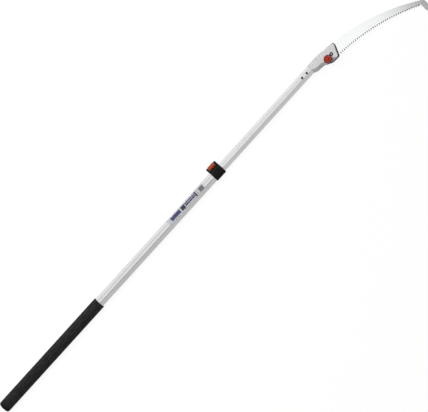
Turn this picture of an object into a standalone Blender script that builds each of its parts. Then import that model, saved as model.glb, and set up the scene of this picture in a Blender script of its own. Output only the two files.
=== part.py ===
"""A telescopic pole saw at its real size, in metres.

The pole lies along +X, and the origin is the middle of its butt end. +Y is the side of the
blade's spine, -Y is the side of its teeth, and +Z looks up from the flat of the pole. The lock
lever is closed, the pole is drawn out by a little under half its travel, and the blade sits in
the middle of its swing.
"""

import math
from collections import namedtuple

import bmesh
import bpy
from mathutils import Matrix, Vector

# Gaps
GAP = 0.0003
SLIDE_GAP = 0.0005
WELD = 0.00001

# Pole tubes, an elongated octagon with rounded corners
Section = namedtuple("Section", "half_width half_height half_flat half_side corner")
OUTER = Section(0.0175, 0.0135, 0.0055, 0.0045, 0.004)
LEAST_CORNER = 0.0004
CORNER_STEPS = 5
TUBE_WALL = 0.0015
INNER_LENGTH = 1.005
HEAD_JOINT = 1.495
FOOT_PLUG_FLANGE = 0.012
FOOT_PLUG_SPIGOT = 0.020

# Grip
GRIP_LENGTH = 0.4666
GRIP_WALL = 0.00235
CAP_LENGTH = 0.012
CAP_EDGE = 0.007
CAP_EDGE_STEPS = 6
CAP_SPIGOT = 0.024

# Clamp collar at the mouth of the outer tube
COLLAR_START = 1.0206
COLLAR_LENGTH = 0.0418
COLLAR_SIDE_WALL = 0.0015
COLLAR_TOP_WALL = 0.003
COLLAR_LIP = 0.0016
LIP_GAP = 0.0009
BUSH_LENGTH = 0.007
EAR_THICKNESS = 0.0076
EAR_PAST_PIN = 0.0047
EAR_HALF_HEIGHT = 0.0085
EAR_ABOVE_UNDERSIDE = 0.0025
EAR_CORNER = 0.004
WEB_SHORT_OF_PIN = 0.0035
WEB_GAP = 0.0008
COLLAR_SCREW_FROM_MOUTH = 0.005
COLLAR_SCREW_RADIUS = 0.0015
COLLAR_SCREW_HEAD_RADIUS = 0.00275
COLLAR_SCREW_HEAD = 0.0015

# Lock lever, its pin and the brake shoe that it presses
PIN_RADIUS = 0.002
PIN_INSET = 0.0006
CAM_RADIUS = 0.0079
CAM_THROW = 0.0012
CAM_GAP = 0.0004
LEVER_SIDE_GAP = 0.00065
LEVER_THICKNESS = 0.004
LEVER_DROP = 0.015
LEVER_TAB = 0.0022
LEVER_CORNER = 0.0012
SHOE_LENGTH = 0.0114
SHOE_HALF_HEIGHT = 0.0032

# Blade head, two half shells whose tops are level with the inner tube's flats
# Each outline corner is X from the tube's end, Y from the pole's axis, and its radius.
HEAD_NECK_TOP = (0.0398, 0.0149, 0.080)
HEAD_FRONT = (
    (0.1102, 0.0056, 0.0046),
    (0.1109, -0.0040, 0.014),
    (0.0922, -0.0404, 0.0085),
    (0.0656, -0.0387, 0.018),
)
HEAD_NECK_BOTTOM = (
    (0.0400, -0.0238, 0.016),
    (0.0140, -0.0214, 0.012),
)
# The rounded edge grows from its radius on the spine side to that at the front between two Ys.
HEAD_EDGE = 0.0036
FRONT_EDGE = 0.006
FRONT_EDGE_GROWS = (-0.004, -0.020)
HEAD_EDGE_STEPS = 5
HEAD_STRIDE = 0.0045
# The tube's sloped sides run on into the head as far as the first of these places past the
# joint, and narrow to the rounded edge by the second.
SPINE_SLOPE_ENDS = (0.034, 0.064)
TOOTH_SLOPE_ENDS = (0.066, 0.090)
SPIGOT_LENGTH = 0.055
SPIGOT_OVERLAP = 0.008
# The space inside the spigot and the neck: how far past the joint, half its width and height.
NECK_HOLLOW = (0.042, 0.008, 0.0065)
POCKET_FROM_JOINT = 0.046
LINER_THICKNESS = 0.001
LINER_FRONT_LIP = 0.0032
LINER_BELLY_LIP = 0.0012
LINER_SPINE_LIP = 0.0008
LINER_CORNER = 0.0008
HEAD_SCREWS_FROM_JOINT = (-0.0412, -0.0192)
HEAD_SCREW_RADIUS = 0.002
HEAD_SCREW_HEAD_RADIUS = 0.00375
HEAD_SCREW_HEAD = 0.0022
HEAD_SCREW_CROWN = 0.0026
HEAD_NUT_ACROSS = 0.007
HEAD_NUT_HEIGHT = 0.003

# Pivot and clamp of the blade, X from the tube's end and Y from the pole's axis
PIVOT = (0.0801, -0.0176)
PIVOT_RADIUS = 0.0025
PIVOT_HEAD_RADIUS = 0.0045
PIVOT_NUT_ACROSS = 0.008
PIVOT_NUT_HEIGHT = 0.004
PIVOT_RECESS_RADIUS = 0.0063
PIVOT_RECESS = 0.0046
BOLT_END = 0.0008
CLAMP = (0.0593, -0.0213)
CLAMP_RADIUS = 0.003
CLAMP_HEAD_RADIUS = 0.0065
BOLT_HEAD = 0.003
CLAMP_BOSS_RADIUS = 0.0095
CLAMP_BOSS_RISE = 0.0005
WASHER_RADIUS = 0.008
WASHER_THICKNESS = 0.001
KNOB_RADIUS = 0.0135
KNOB_FLUTES = 14
KNOB_FLUTE_STEPS = 8
KNOB_FLUTE_DEPTH = 0.0007
KNOB_HEIGHT = 0.0095
KNOB_DISH_RADIUS = 0.0102
KNOB_DISH = 0.0018
KNOB_BOSS_RADIUS = 0.005
KNOB_BOSS_RISE = 0.0012
INSERT_RADIUS = 0.005
INSERT_LENGTH = 0.0065

# Blade, X from the tube's end and Y from the pole's axis
BLADE_THICKNESS = 0.0013
BLADE_SWING = math.radians(12)
TANG_RADIUS = 0.0278
TANG_SPREAD = math.radians(24)
TANG_STEPS = 12
SLOT_STEPS = 6
SPINE_START = (0.1125, 0.0052)
SPINE_END = (0.4075, -0.1172)
SPINE_RISE = 0.0192
SPINE_STEPS = 40
TEETH_START = (0.1040, -0.0394)
TEETH_END = (0.3911, -0.1273)
TEETH_RISE = 0.016
TOOTH_PITCH = 0.003875
TOOTH_DEPTH = 0.0040
HEEL = (0.098, -0.0362)
HOOK_OUTER = (0.4135, -0.1216)
HOOK_OUTER_RADIUS = 0.005
HOOK_END = -0.160
HOOK_MIDDLE = 0.4014
HOOK_HALF_WIDTH = 0.0095
HOOK_LEAN = math.radians(5.5)
HOOK_CROOK = (0.3944, -0.1262)
HOOK_STEPS = 14

# Values that follow from the ones above
COLLAR = Section(
    OUTER.half_width + COLLAR_SIDE_WALL,
    OUTER.half_height + COLLAR_TOP_WALL,
    OUTER.half_flat + COLLAR_SIDE_WALL,
    OUTER.half_side + COLLAR_SIDE_WALL,
    OUTER.corner,
)
PIN_FROM_AXIS = COLLAR.half_width + CAM_GAP + CAM_RADIUS + CAM_THROW
EAR_REACH = PIN_FROM_AXIS + EAR_PAST_PIN
EAR_DROP = COLLAR.half_height - EAR_ABOVE_UNDERSIDE
EAR_ROOT = OUTER.half_width / 2
WEB_REACH = PIN_FROM_AXIS - WEB_SHORT_OF_PIN
COLLAR_END = COLLAR_START + COLLAR_LENGTH
COLLAR_MIDDLE = (COLLAR_START + COLLAR_END) / 2
LIP_START = COLLAR_END - COLLAR_LIP
OUTER_END = LIP_START - BUSH_LENGTH - 2 * GAP
COLLAR_SCREW_X = OUTER_END - COLLAR_SCREW_FROM_MOUTH
INNER_START = HEAD_JOINT - INNER_LENGTH
LEVER_HALF_WIDTH = COLLAR_LENGTH / 2 - EAR_THICKNESS - LEVER_SIDE_GAP
LINER_LOW = BLADE_THICKNESS / 2 + GAP
POCKET_DEPTH = LINER_LOW + LINER_THICKNESS + GAP
ROUND_SIDES = 32

ALUMINIUM = ((0.66, 0.66, 0.67), 0.35, 0.9)
GREY_SHELL = ((0.58, 0.58, 0.58), 0.45, 0.3)
BLACK_PLASTIC = ((0.02, 0.02, 0.021), 0.5, 0.0)
BLACK_RUBBER = ((0.018, 0.017, 0.018), 0.8, 0.0)
RED_PLASTIC = ((0.55, 0.04, 0.015), 0.35, 0.0)
STEEL = ((0.6, 0.6, 0.6), 0.3, 1.0)
DARK_STEEL = ((0.03, 0.03, 0.032), 0.4, 0.8)
BRASS = ((0.6, 0.42, 0.16), 0.35, 1.0)
BLADE_STEEL = ((0.75, 0.75, 0.75), 0.25, 1.0)


def grown(section, distance):
    """The oval with each of its flats moved out by a distance, or in by a negative one."""
    run = section.half_width - section.half_flat
    drop = section.half_height - section.half_side
    slant = math.hypot(run, drop)
    across = drop / slant
    up = run / slant
    reach = across * section.half_flat + up * section.half_height + distance
    half_width = section.half_width + distance
    half_height = section.half_height + distance
    half_flat = (reach - up * half_height) / across
    half_side = (reach - across * half_width) / up
    corner = max(section.corner + distance, LEAST_CORNER)
    return Section(half_width, half_height, half_flat, half_side, corner)


INNER = grown(OUTER, -TUBE_WALL - SLIDE_GAP)
GRIP = grown(OUTER, GAP + GRIP_WALL)
INNER_BORE = grown(INNER, -TUBE_WALL)
CLAMP_SEAT = INNER.half_height + CLAMP_BOSS_RISE


def fillet(before, corner, after, radius, steps):
    """Points of the arc that rounds one corner of an outline."""
    here = Vector(corner)
    back = (Vector(before) - here).normalized()
    ahead = (Vector(after) - here).normalized()
    half = back.angle(ahead) / 2
    centre = here + (back + ahead).normalized() * radius / math.sin(half)
    start = here + back * radius / math.tan(half) - centre
    end = here + ahead * radius / math.tan(half) - centre
    first = math.atan2(start.y, start.x)
    turn = math.atan2(end.y, end.x) - first
    turn = (turn + math.pi) % math.tau - math.pi
    angles = [first + turn * step / steps for step in range(steps + 1)]
    return [centre + radius * Vector((math.cos(a), math.sin(a))) for a in angles]


def rounded(corners, steps=CORNER_STEPS):
    """A closed outline from (x, y, radius) corners. A radius of 0 leaves the corner sharp."""
    points = []
    for index, (x, y, radius) in enumerate(corners):
        before = corners[index - 1][:2]
        after = corners[(index + 1) % len(corners)][:2]
        if radius > 0:
            points += fillet(before, (x, y), after, radius, steps)
        else:
            points.append(Vector((x, y)))
    return points


def oval(section):
    """The rounded octagon of a section, as points across and up."""
    quarter = (
        (section.half_width, section.half_side),
        (section.half_flat, section.half_height),
    )
    corners = []
    for across_sign, up_sign in ((1, 1), (-1, 1), (-1, -1), (1, -1)):
        pair = quarter if across_sign == up_sign else quarter[::-1]
        corners += [(across_sign * y, up_sign * z, section.corner) for y, z in pair]
    return rounded(corners)


def circle(centre, radius, sides=ROUND_SIDES):
    """Points of a circle."""
    angles = [math.tau * side / sides for side in range(sides)]
    return [Vector(centre) + radius * Vector((math.cos(a), math.sin(a))) for a in angles]


def bow(start, end, rise, share):
    """The point and outward normal at a share of the way along an arc that bulges left."""
    chord = Vector(end) - Vector(start)
    along = chord.normalized()
    out = Vector((-along.y, along.x))
    radius = (chord.length**2 / 4 + rise**2) / (2 * rise)
    centre = (Vector(start) + Vector(end)) / 2 - out * (radius - rise)
    widest = math.asin(chord.length / 2 / radius)
    angle = widest * (2 * share - 1)
    normal = out * math.cos(angle) + along * math.sin(angle)
    return centre + radius * normal, normal


def bow_length(start, end, rise):
    """The length of the arc that bow() follows."""
    half = (Vector(end) - Vector(start)).length / 2
    radius = (half**2 + rise**2) / (2 * rise)
    return 2 * radius * math.asin(half / radius)


def coloured(name, finish):
    """A Principled material for one piece."""
    colour, roughness, metallic = finish
    material = bpy.data.materials.new(name)
    material.use_nodes = True
    shader = material.node_tree.nodes["Principled BSDF"]
    shader.inputs["Base Color"].default_value = (*colour, 1)
    shader.inputs["Roughness"].default_value = roughness
    shader.inputs["Metallic"].default_value = metallic
    return material


def placed(name, mesh, finish, origin=(0, 0, 0)):
    """A new object for a mesh. One with no finish is a cutter."""
    piece = bpy.data.objects.new(name, mesh)
    piece.location = origin
    if finish is None:
        piece.display_type = "WIRE"
        piece.hide_render = True
        cutters.objects.link(piece)
    else:
        mesh.materials.append(coloured(name, finish))
        parts.objects.link(piece)
    return piece


def shaded(mesh):
    """Smooth shading with sharp edges kept."""
    mesh.shade_smooth()
    mesh.set_sharp_from_angle(angle=math.radians(35))


def outline_curve(name, loops, half_thickness):
    """A filled flat curve. Loops inside the first one are holes."""
    curve = bpy.data.curves.new(name, "CURVE")
    curve.dimensions = "2D"
    curve.fill_mode = "BOTH"
    curve.extrude = half_thickness
    for loop in loops:
        spline = curve.splines.new("POLY")
        spline.points.add(len(loop) - 1)
        spline.use_cyclic_u = True
        for point, (x, y) in zip(spline.points, loop):
            point.co = (x, y, 0, 1)
    return curve


def mesh_of(curve, turn):
    """The curve's solid as a mesh with welded caps, turned to face its way."""
    guide = bpy.data.objects.new(curve.name + "_outline", curve)
    bpy.context.scene.collection.objects.link(guide)
    bpy.context.view_layer.update()
    graph = bpy.context.evaluated_depsgraph_get()
    mesh = bpy.data.meshes.new_from_object(guide.evaluated_get(graph))
    mesh.materials.clear()
    bpy.data.objects.remove(guide)
    work = bmesh.new()
    work.from_mesh(mesh)
    bmesh.ops.remove_doubles(work, verts=work.verts, dist=WELD)
    bmesh.ops.transform(work, matrix=turn, verts=work.verts)
    bmesh.ops.recalc_face_normals(work, faces=work.faces)
    work.to_mesh(mesh)
    work.free()
    return mesh


# A curve's outline lies in local X and Y. These turn it to be seen along Z or along X.
ALONG_Z = Matrix.Identity(4)
ALONG_X = Matrix(((0, 0, 1, 0), (1, 0, 0, 0), (0, 1, 0, 0), (0, 0, 0, 1)))


def plate(name, loops, low, high, finish, origin=(0, 0)):
    """A flat piece in X and Y between two heights, with its own origin at a joint if given."""
    start = Vector(origin)
    local = [[point - start for point in loop] for loop in loops]
    mesh = mesh_of(outline_curve(name, local, (high - low) / 2), ALONG_Z)
    mesh.transform(Matrix.Translation((0, 0, (low + high) / 2)))
    shaded(mesh)
    return placed(name, mesh, finish, (*origin, 0))


def bar(name, loops, start, end, finish, origin=(0, 0)):
    """A bar along X between two places, from outlines in Y and Z about its origin."""
    local = [[point - Vector(origin) for point in loop] for loop in loops]
    mesh = mesh_of(outline_curve(name, local, (end - start) / 2), ALONG_X)
    shaded(mesh)
    return placed(name, mesh, finish, ((start + end) / 2, *origin))


def lofted(name, rings, finish):
    """A solid through closed rings that have as many points each."""
    work = bmesh.new()
    loops = [[work.verts.new(point) for point in ring] for ring in rings]
    for near, far in zip(loops, loops[1:]):
        for side in range(len(near)):
            work.faces.new((near[side - 1], near[side], far[side], far[side - 1]))
    work.faces.new(loops[0])
    work.faces.new(loops[-1])
    bmesh.ops.recalc_face_normals(work, faces=work.faces)
    mesh = bpy.data.meshes.new(name)
    work.to_mesh(mesh)
    work.free()
    shaded(mesh)
    return placed(name, mesh, finish)


def stack(name, ovals, finish):
    """A solid along X through ovals of unlike size at rising places on X."""
    rings = [[(x, y, z) for y, z in oval(section)] for x, section in ovals]
    return lofted(name, rings, finish)


def box(name, low, high, finish=None):
    """A box between two corners, with its origin in its middle."""
    sizes = Vector(high) - Vector(low)
    work = bmesh.new()
    bmesh.ops.create_cube(work, size=1)
    bmesh.ops.scale(work, vec=sizes, verts=work.verts)
    mesh = bpy.data.meshes.new(name)
    work.to_mesh(mesh)
    work.free()
    return placed(name, mesh, finish, (Vector(low) + Vector(high)) / 2)


def rod(name, start, end, radius, finish=None, sides=ROUND_SIDES):
    """A round or many sided bar between two points."""
    line = Vector(end) - Vector(start)
    turn = Vector((0, 0, 1)).rotation_difference(line).to_matrix()
    work = bmesh.new()
    bmesh.ops.create_cone(
        work, cap_ends=True, segments=sides, radius1=radius, radius2=radius, depth=line.length
    )
    bmesh.ops.rotate(work, matrix=turn, verts=work.verts)
    mesh = bpy.data.meshes.new(name)
    work.to_mesh(mesh)
    work.free()
    shaded(mesh)
    return placed(name, mesh, finish, (Vector(start) + Vector(end)) / 2)


def turned(name, profile, centre, finish, tilt=0.0):
    """A turned piece about a vertical axis, from radius and height down its outer side."""
    mesh = bpy.data.meshes.new(name)
    edges = [(index, index + 1) for index in range(len(profile) - 1)]
    mesh.from_pydata([(radius, 0, height) for radius, height in profile], edges, [])
    piece = placed(name, mesh, finish, (*centre, 0))
    piece.rotation_euler.x = tilt
    screw = piece.modifiers.new("turn", "SCREW")
    screw.steps = ROUND_SIDES
    screw.render_steps = ROUND_SIDES
    screw.use_merge_vertices = True
    screw.merge_threshold = WELD
    screw.use_smooth_shade = False
    return piece


def bolt_profile(top, radius, shoulder, head_radius, bottom):
    """A plain bolt with its head down."""
    return [
        (0, top),
        (radius, top),
        (radius, shoulder),
        (head_radius, shoulder),
        (head_radius, bottom),
        (0, bottom),
    ]


def boolean(piece, other, operation):
    """Cuts a piece with another, or joins the other to it."""
    modifier = piece.modifiers.new(operation.lower() + "_" + other.name, "BOOLEAN")
    modifier.operation = operation
    modifier.object = other
    modifier.solver = "EXACT"


def hexagon(centre, across):
    """The outline of a nut."""
    return circle(centre, across / math.sqrt(3), 6)


def from_joint(place):
    """A place given from the tube's end, in the pole's own frame."""
    return (HEAD_JOINT + place[0], place[1])


def holder(name, location):
    """An empty that carries pieces that move together."""
    empty = bpy.data.objects.new(name, None)
    empty.location = location
    parts.objects.link(empty)
    return empty


def carry(empty, pieces):
    """Parents pieces to an empty where they stand."""
    for piece in pieces:
        piece.parent = empty
        piece.matrix_parent_inverse = Matrix.Translation(empty.location).inverted()


def make_outer_tube():
    """The thicker tube, with a window for the brake shoe and two screw holes."""
    start = CAP_LENGTH + GAP
    loops = [oval(OUTER), oval(grown(OUTER, -TUBE_WALL))]
    tube = bar("outer_tube", loops, start, OUTER_END, ALUMINIUM)
    boolean(tube, shoe_window(), "DIFFERENCE")
    boolean(tube, collar_screw_hole(), "DIFFERENCE")


def shoe_window():
    """The cutter of the opening that the brake shoe passes through."""
    half_length = SHOE_LENGTH / 2 + GAP
    half_height = SHOE_HALF_HEIGHT + GAP
    low = (COLLAR_MIDDLE - half_length, INNER.half_width, -half_height)
    high = (COLLAR_MIDDLE + half_length, PIN_FROM_AXIS, half_height)
    return box("shoe_window_cutter", low, high)


def collar_screw_hole():
    """The cutter of the shank holes of both collar screws."""
    reach = COLLAR.half_height * 2
    low = (COLLAR_SCREW_X, 0, -reach)
    high = (COLLAR_SCREW_X, 0, reach)
    return rod("collar_screw_cutter", low, high, COLLAR_SCREW_RADIUS + GAP)


def make_grip():
    """The sleeve on the lower end of the outer tube, and the cap that closes the tube."""
    start = CAP_LENGTH + GAP
    bar("grip_sleeve", [oval(GRIP), oval(grown(OUTER, GAP))], start, GRIP_LENGTH, BLACK_RUBBER)
    rings = []
    for step in range(CAP_EDGE_STEPS + 1):
        angle = math.pi / 2 * step / CAP_EDGE_STEPS
        inset = CAP_EDGE * (1 - math.sin(angle))
        rings.append((CAP_EDGE * (1 - math.cos(angle)), grown(GRIP, -inset)))
    spigot = grown(OUTER, -TUBE_WALL - GAP)
    rings += [(CAP_LENGTH, GRIP), (CAP_LENGTH, spigot), (CAP_LENGTH + CAP_SPIGOT, spigot)]
    stack("butt_cap", rings, BLACK_PLASTIC)


def ear(name, start):
    """One ear of the collar. It starts where the bore is cut later, to be joined to the wall."""
    corners = [
        (EAR_ROOT, -EAR_DROP, 0),
        (WEB_REACH, -EAR_DROP, EAR_CORNER / 2),
        (EAR_REACH, -EAR_HALF_HEIGHT, EAR_CORNER),
        (EAR_REACH, EAR_HALF_HEIGHT, EAR_CORNER),
        (EAR_ROOT, EAR_HALF_HEIGHT, 0),
    ]
    return bar(name, [rounded(corners)], start, start + EAR_THICKNESS, None)


def web():
    """The bar between the ears, below the cam."""
    top = -CAM_RADIUS - CAM_THROW - WEB_GAP
    low = (COLLAR_START + EAR_THICKNESS / 2, EAR_ROOT, -EAR_DROP)
    high = (COLLAR_END - EAR_THICKNESS / 2, WEB_REACH, top)
    return box("web", low, high)


def make_collar():
    """The collar on the mouth of the outer tube, its bush and its two screws."""
    collar = bar("clamp_collar", [oval(COLLAR)], COLLAR_START, COLLAR_END, BLACK_PLASTIC)
    boolean(collar, ear("rear_ear", COLLAR_START), "UNION")
    boolean(collar, ear("front_ear", COLLAR_END - EAR_THICKNESS), "UNION")
    boolean(collar, web(), "UNION")
    seat = grown(OUTER, GAP)
    bore = bar("collar_bore_cutter", [oval(seat)], COLLAR_START - SLIDE_GAP, LIP_START, None)
    boolean(collar, bore, "DIFFERENCE")
    mouth_end = COLLAR_END + COLLAR_LIP
    mouth = grown(INNER, LIP_GAP)
    opening = bar("collar_mouth_cutter", [oval(mouth)], INNER_START, mouth_end, None)
    boolean(collar, opening, "DIFFERENCE")
    boolean(collar, bpy.data.objects["shoe_window_cutter"], "DIFFERENCE")
    boolean(collar, bpy.data.objects["collar_screw_cutter"], "DIFFERENCE")
    pin_radius = PIN_RADIUS + GAP
    reach = COLLAR_LENGTH
    pin_start = (COLLAR_MIDDLE - reach, PIN_FROM_AXIS, 0)
    pin_end = (COLLAR_MIDDLE + reach, PIN_FROM_AXIS, 0)
    boolean(collar, rod("pin_cutter", pin_start, pin_end, pin_radius), "DIFFERENCE")
    make_collar_screws(collar)
    bush_start = OUTER_END + GAP
    loops = [oval(OUTER), oval(grown(INNER, GAP))]
    bar("tube_bush", loops, bush_start, bush_start + BUSH_LENGTH, BLACK_PLASTIC)


def make_collar_screws(collar):
    """Two short screws through the collar into the tube's wall, with sunk heads."""
    top = COLLAR.half_height - GAP
    shoulder = top - COLLAR_SCREW_HEAD
    tip = OUTER.half_height - TUBE_WALL
    sink_radius = COLLAR_SCREW_HEAD_RADIUS + GAP
    profile = [
        (0, top),
        (COLLAR_SCREW_HEAD_RADIUS, top),
        (COLLAR_SCREW_HEAD_RADIUS, shoulder),
        (COLLAR_SCREW_RADIUS, shoulder),
        (COLLAR_SCREW_RADIUS, tip),
        (0, tip),
    ]
    for name, side, tilt in (("top", 1, 0.0), ("bottom", -1, math.pi)):
        sink_low = (COLLAR_SCREW_X, 0, side * (shoulder - GAP))
        sink_high = (COLLAR_SCREW_X, 0, side * 2 * COLLAR.half_height)
        sink = rod("collar_sink_cutter_" + name, sink_low, sink_high, sink_radius)
        boolean(collar, sink, "DIFFERENCE")
        turned("collar_screw_" + name, profile, (COLLAR_SCREW_X, 0), STEEL, tilt)


def make_lever():
    """The cam lever, closed, with its arm hanging down beside the collar. It turns on a pin."""
    pin = Vector((PIN_FROM_AXIS, 0))
    cam = pin - Vector((CAM_THROW, 0))
    outer = cam.x + CAM_RADIUS
    inner = outer - LEVER_THICKNESS
    leaves = -math.acos((inner - cam.x) / CAM_RADIUS)
    turn = math.tau + leaves
    steps = ROUND_SIDES
    angles = [turn * step / steps for step in range(steps + 1)]
    barrel = [cam + CAM_RADIUS * Vector((math.cos(a), math.sin(a))) for a in angles]
    tab_start = -LEVER_DROP + LEVER_TAB + LEVER_THICKNESS
    arm = rounded(
        [
            (inner, tab_start, 0),
            (inner + LEVER_TAB, -LEVER_DROP, LEVER_CORNER),
            (outer + LEVER_TAB, -LEVER_DROP, LEVER_CORNER),
            (outer, tab_start, 0),
        ]
    )
    loops = [barrel + arm, circle(pin, PIN_RADIUS + GAP)]
    start = COLLAR_MIDDLE - LEVER_HALF_WIDTH
    end = COLLAR_MIDDLE + LEVER_HALF_WIDTH
    bar("lock_lever", loops, start, end, RED_PLASTIC, pin)
    pin_start = (COLLAR_START + PIN_INSET, PIN_FROM_AXIS, 0)
    pin_end = (COLLAR_END - PIN_INSET, PIN_FROM_AXIS, 0)
    rod("lever_pin", pin_start, pin_end, PIN_RADIUS, STEEL)


def make_shoe():
    """The pad between the cam and the inner tube."""
    cam_reach = PIN_FROM_AXIS - CAM_THROW - CAM_RADIUS
    half = SHOE_LENGTH / 2
    low = (COLLAR_MIDDLE - half, INNER.half_width + GAP, -SHOE_HALF_HEIGHT)
    high = (COLLAR_MIDDLE + half, cam_reach - GAP, SHOE_HALF_HEIGHT)
    box("brake_shoe", low, high, BLACK_PLASTIC)


def make_inner_tube():
    """The thinner tube with its screw holes, and the plug that glides in the outer tube."""
    tube = bar("inner_tube", [oval(INNER), oval(INNER_BORE)], INNER_START, HEAD_JOINT, ALUMINIUM)
    for index, offset in enumerate(HEAD_SCREWS_FROM_JOINT):
        x = HEAD_JOINT + offset
        reach = INNER.half_height * 2
        radius = HEAD_SCREW_RADIUS + GAP
        hole = rod(f"head_screw_cutter_{index}", (x, 0, -reach), (x, 0, reach), radius)
        boolean(tube, hole, "DIFFERENCE")
    flange = grown(OUTER, -TUBE_WALL - GAP)
    spigot = grown(INNER_BORE, -GAP)
    flange_end = INNER_START - GAP
    rings = [
        (flange_end - FOOT_PLUG_FLANGE, flange),
        (flange_end, flange),
        (flange_end, spigot),
        (flange_end + FOOT_PLUG_SPIGOT, spigot),
    ]
    plug = stack("foot_plug", rings, BLACK_PLASTIC)
    return [tube, plug]


def divided(points, stride):
    """An open line of points with more of them along its longer runs."""
    line = points[:1]
    for before, after in zip(points, points[1:]):
        steps = math.ceil((after - before).length / stride)
        line += [before.lerp(after, step / steps) for step in range(1, steps + 1)]
    return line


def head_outline(start):
    """The outline of a head shell from a place just past the tube's end."""
    corners = [(start, INNER.half_width, 0), HEAD_NECK_TOP, *HEAD_FRONT, *HEAD_NECK_BOTTOM]
    corners.append((start, -INNER.half_width, 0))
    points = rounded([(HEAD_JOINT + x, y, radius) for x, y, radius in corners], HEAD_EDGE_STEPS)
    return divided(points, HEAD_STRIDE)


def inward_ways(outline):
    """The way in from each point of a head outline. The two at the tube's end move across."""
    ways = [Vector((0, -1))]
    for before, after in zip(outline, outline[2:]):
        run = (after - before).normalized()
        ways.append(Vector((run.y, -run.x)))
    ways.append(Vector((0, 1)))
    return ways


def fading(value, full, gone):
    """A share that falls smoothly from 1 to 0 as a value goes from one place to another."""
    share = min(max((gone - value) / (gone - full), 0), 1)
    return share * share * (3 - 2 * share)


def edge_cut(point):
    """How straight, wide and deep a shell's edge is cut at a point of its outline."""
    slope_ends = SPINE_SLOPE_ENDS if point.y > 0 else TOOTH_SLOPE_ENDS
    slope = fading(point.x - HEAD_JOINT, *slope_ends)
    edge = FRONT_EDGE + fading(point.y, *FRONT_EDGE_GROWS) * (HEAD_EDGE - FRONT_EDGE)
    width = edge + slope * (INNER.half_width - INNER.half_flat - edge)
    drop = edge + slope * (INNER.half_height - INNER.half_side - edge)
    return slope, width, drop


def rim_ring(outline, side, share):
    """One ring of a shell's edge, from the side wall at 0 to the outer face at 1."""
    angle = math.pi / 2 * share
    ring = []
    for point, inward in zip(outline, inward_ways(outline)):
        slope, width, drop = edge_cut(point)
        across = slope * share + (1 - slope) * (1 - math.cos(angle))
        up = slope * share + (1 - slope) * math.sin(angle)
        place = point + inward * width * across
        ring.append((place.x, place.y, side * (INNER.half_height - drop * (1 - up))))
    return ring


def shell_solid(name, side):
    """The outside of a head shell, lofted from the joint plane to its outer face."""
    outline = head_outline(GAP)
    rings = [[(point.x, point.y, side * GAP / 2) for point in outline]]
    for step in range(HEAD_EDGE_STEPS + 1):
        rings.append(rim_ring(outline, side, step / HEAD_EDGE_STEPS))
    return lofted(name, rings, GREY_SHELL)


def half_spigot(name, side):
    """Half of the oval tongue that plugs into the inner tube, on one side of the joint plane."""
    low = GAP / 2
    half = [point for point in oval(grown(INNER_BORE, -GAP)) if side * point.y > low]
    foot = [Vector((point.x, side * low)) for point in (half[-1], half[0])]
    start = HEAD_JOINT - SPIGOT_LENGTH
    return bar(name, [half + foot], start, HEAD_JOINT + SPIGOT_OVERLAP, None)


def neck_hollow():
    """The cutter of the space inside the spigot and the neck, which opens into the tube."""
    end, half_width, half_height = NECK_HOLLOW
    low = (HEAD_JOINT - SPIGOT_LENGTH - GAP, -half_width, -half_height)
    high = (HEAD_JOINT + end, half_width, half_height)
    return box("neck_hollow_cutter", low, high)


def make_shell(name, side):
    """One half shell of the head: +1 is the cover on top and -1 the base below."""
    shell = shell_solid(name, side)
    boolean(shell, half_spigot(name + "_spigot", side), "UNION")
    clamp = from_joint(CLAMP)
    boss_foot = (*clamp, side * GAP)
    boss_face = (*clamp, side * CLAMP_SEAT)
    boolean(shell, rod(name + "_boss", boss_foot, boss_face, CLAMP_BOSS_RADIUS), "UNION")
    pocket_low = (HEAD_JOINT + POCKET_FROM_JOINT, -1, -POCKET_DEPTH)
    pocket_high = (HEAD_JOINT + 1, 1, POCKET_DEPTH)
    boolean(shell, box(name + "_pocket_cutter", pocket_low, pocket_high), "DIFFERENCE")
    return shell


def drill(pieces, name, place, low, high, radius):
    """One round hole through several pieces."""
    cutter = rod(name, (*place, low), (*place, high), radius)
    for piece in pieces:
        boolean(piece, cutter, "DIFFERENCE")


def make_liner(name, side):
    """A thin friction plate beside the blade, whose rim shows all round the head."""
    rear = POCKET_FROM_JOINT + GAP
    reach = []
    for (x, y, _), (far_x, far_y, _) in (
        (HEAD_NECK_TOP, HEAD_FRONT[0]),
        (HEAD_NECK_BOTTOM[0], HEAD_FRONT[-1]),
    ):
        reach.append(y + (far_y - y) * (rear - x) / (far_x - x))
    top = (rear, reach[0] + LINER_SPINE_LIP, LINER_CORNER)
    bottom = (rear, reach[1] - LINER_BELLY_LIP, LINER_CORNER)
    front = []
    for x, y, radius in HEAD_FRONT[:-1]:
        lip = LINER_SPINE_LIP if y > 0 else -LINER_BELLY_LIP
        front.append((x + LINER_FRONT_LIP, y + lip, radius))
    x, y, radius = HEAD_FRONT[-1]
    front.append((x, y - LINER_BELLY_LIP, radius))
    corners = [(HEAD_JOINT + x, y, radius) for x, y, radius in [top, *front, bottom]]
    low, high = sorted((side * LINER_LOW, side * (LINER_LOW + LINER_THICKNESS)))
    return plate(name, [rounded(corners)], low, high, BLACK_PLASTIC)


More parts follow.
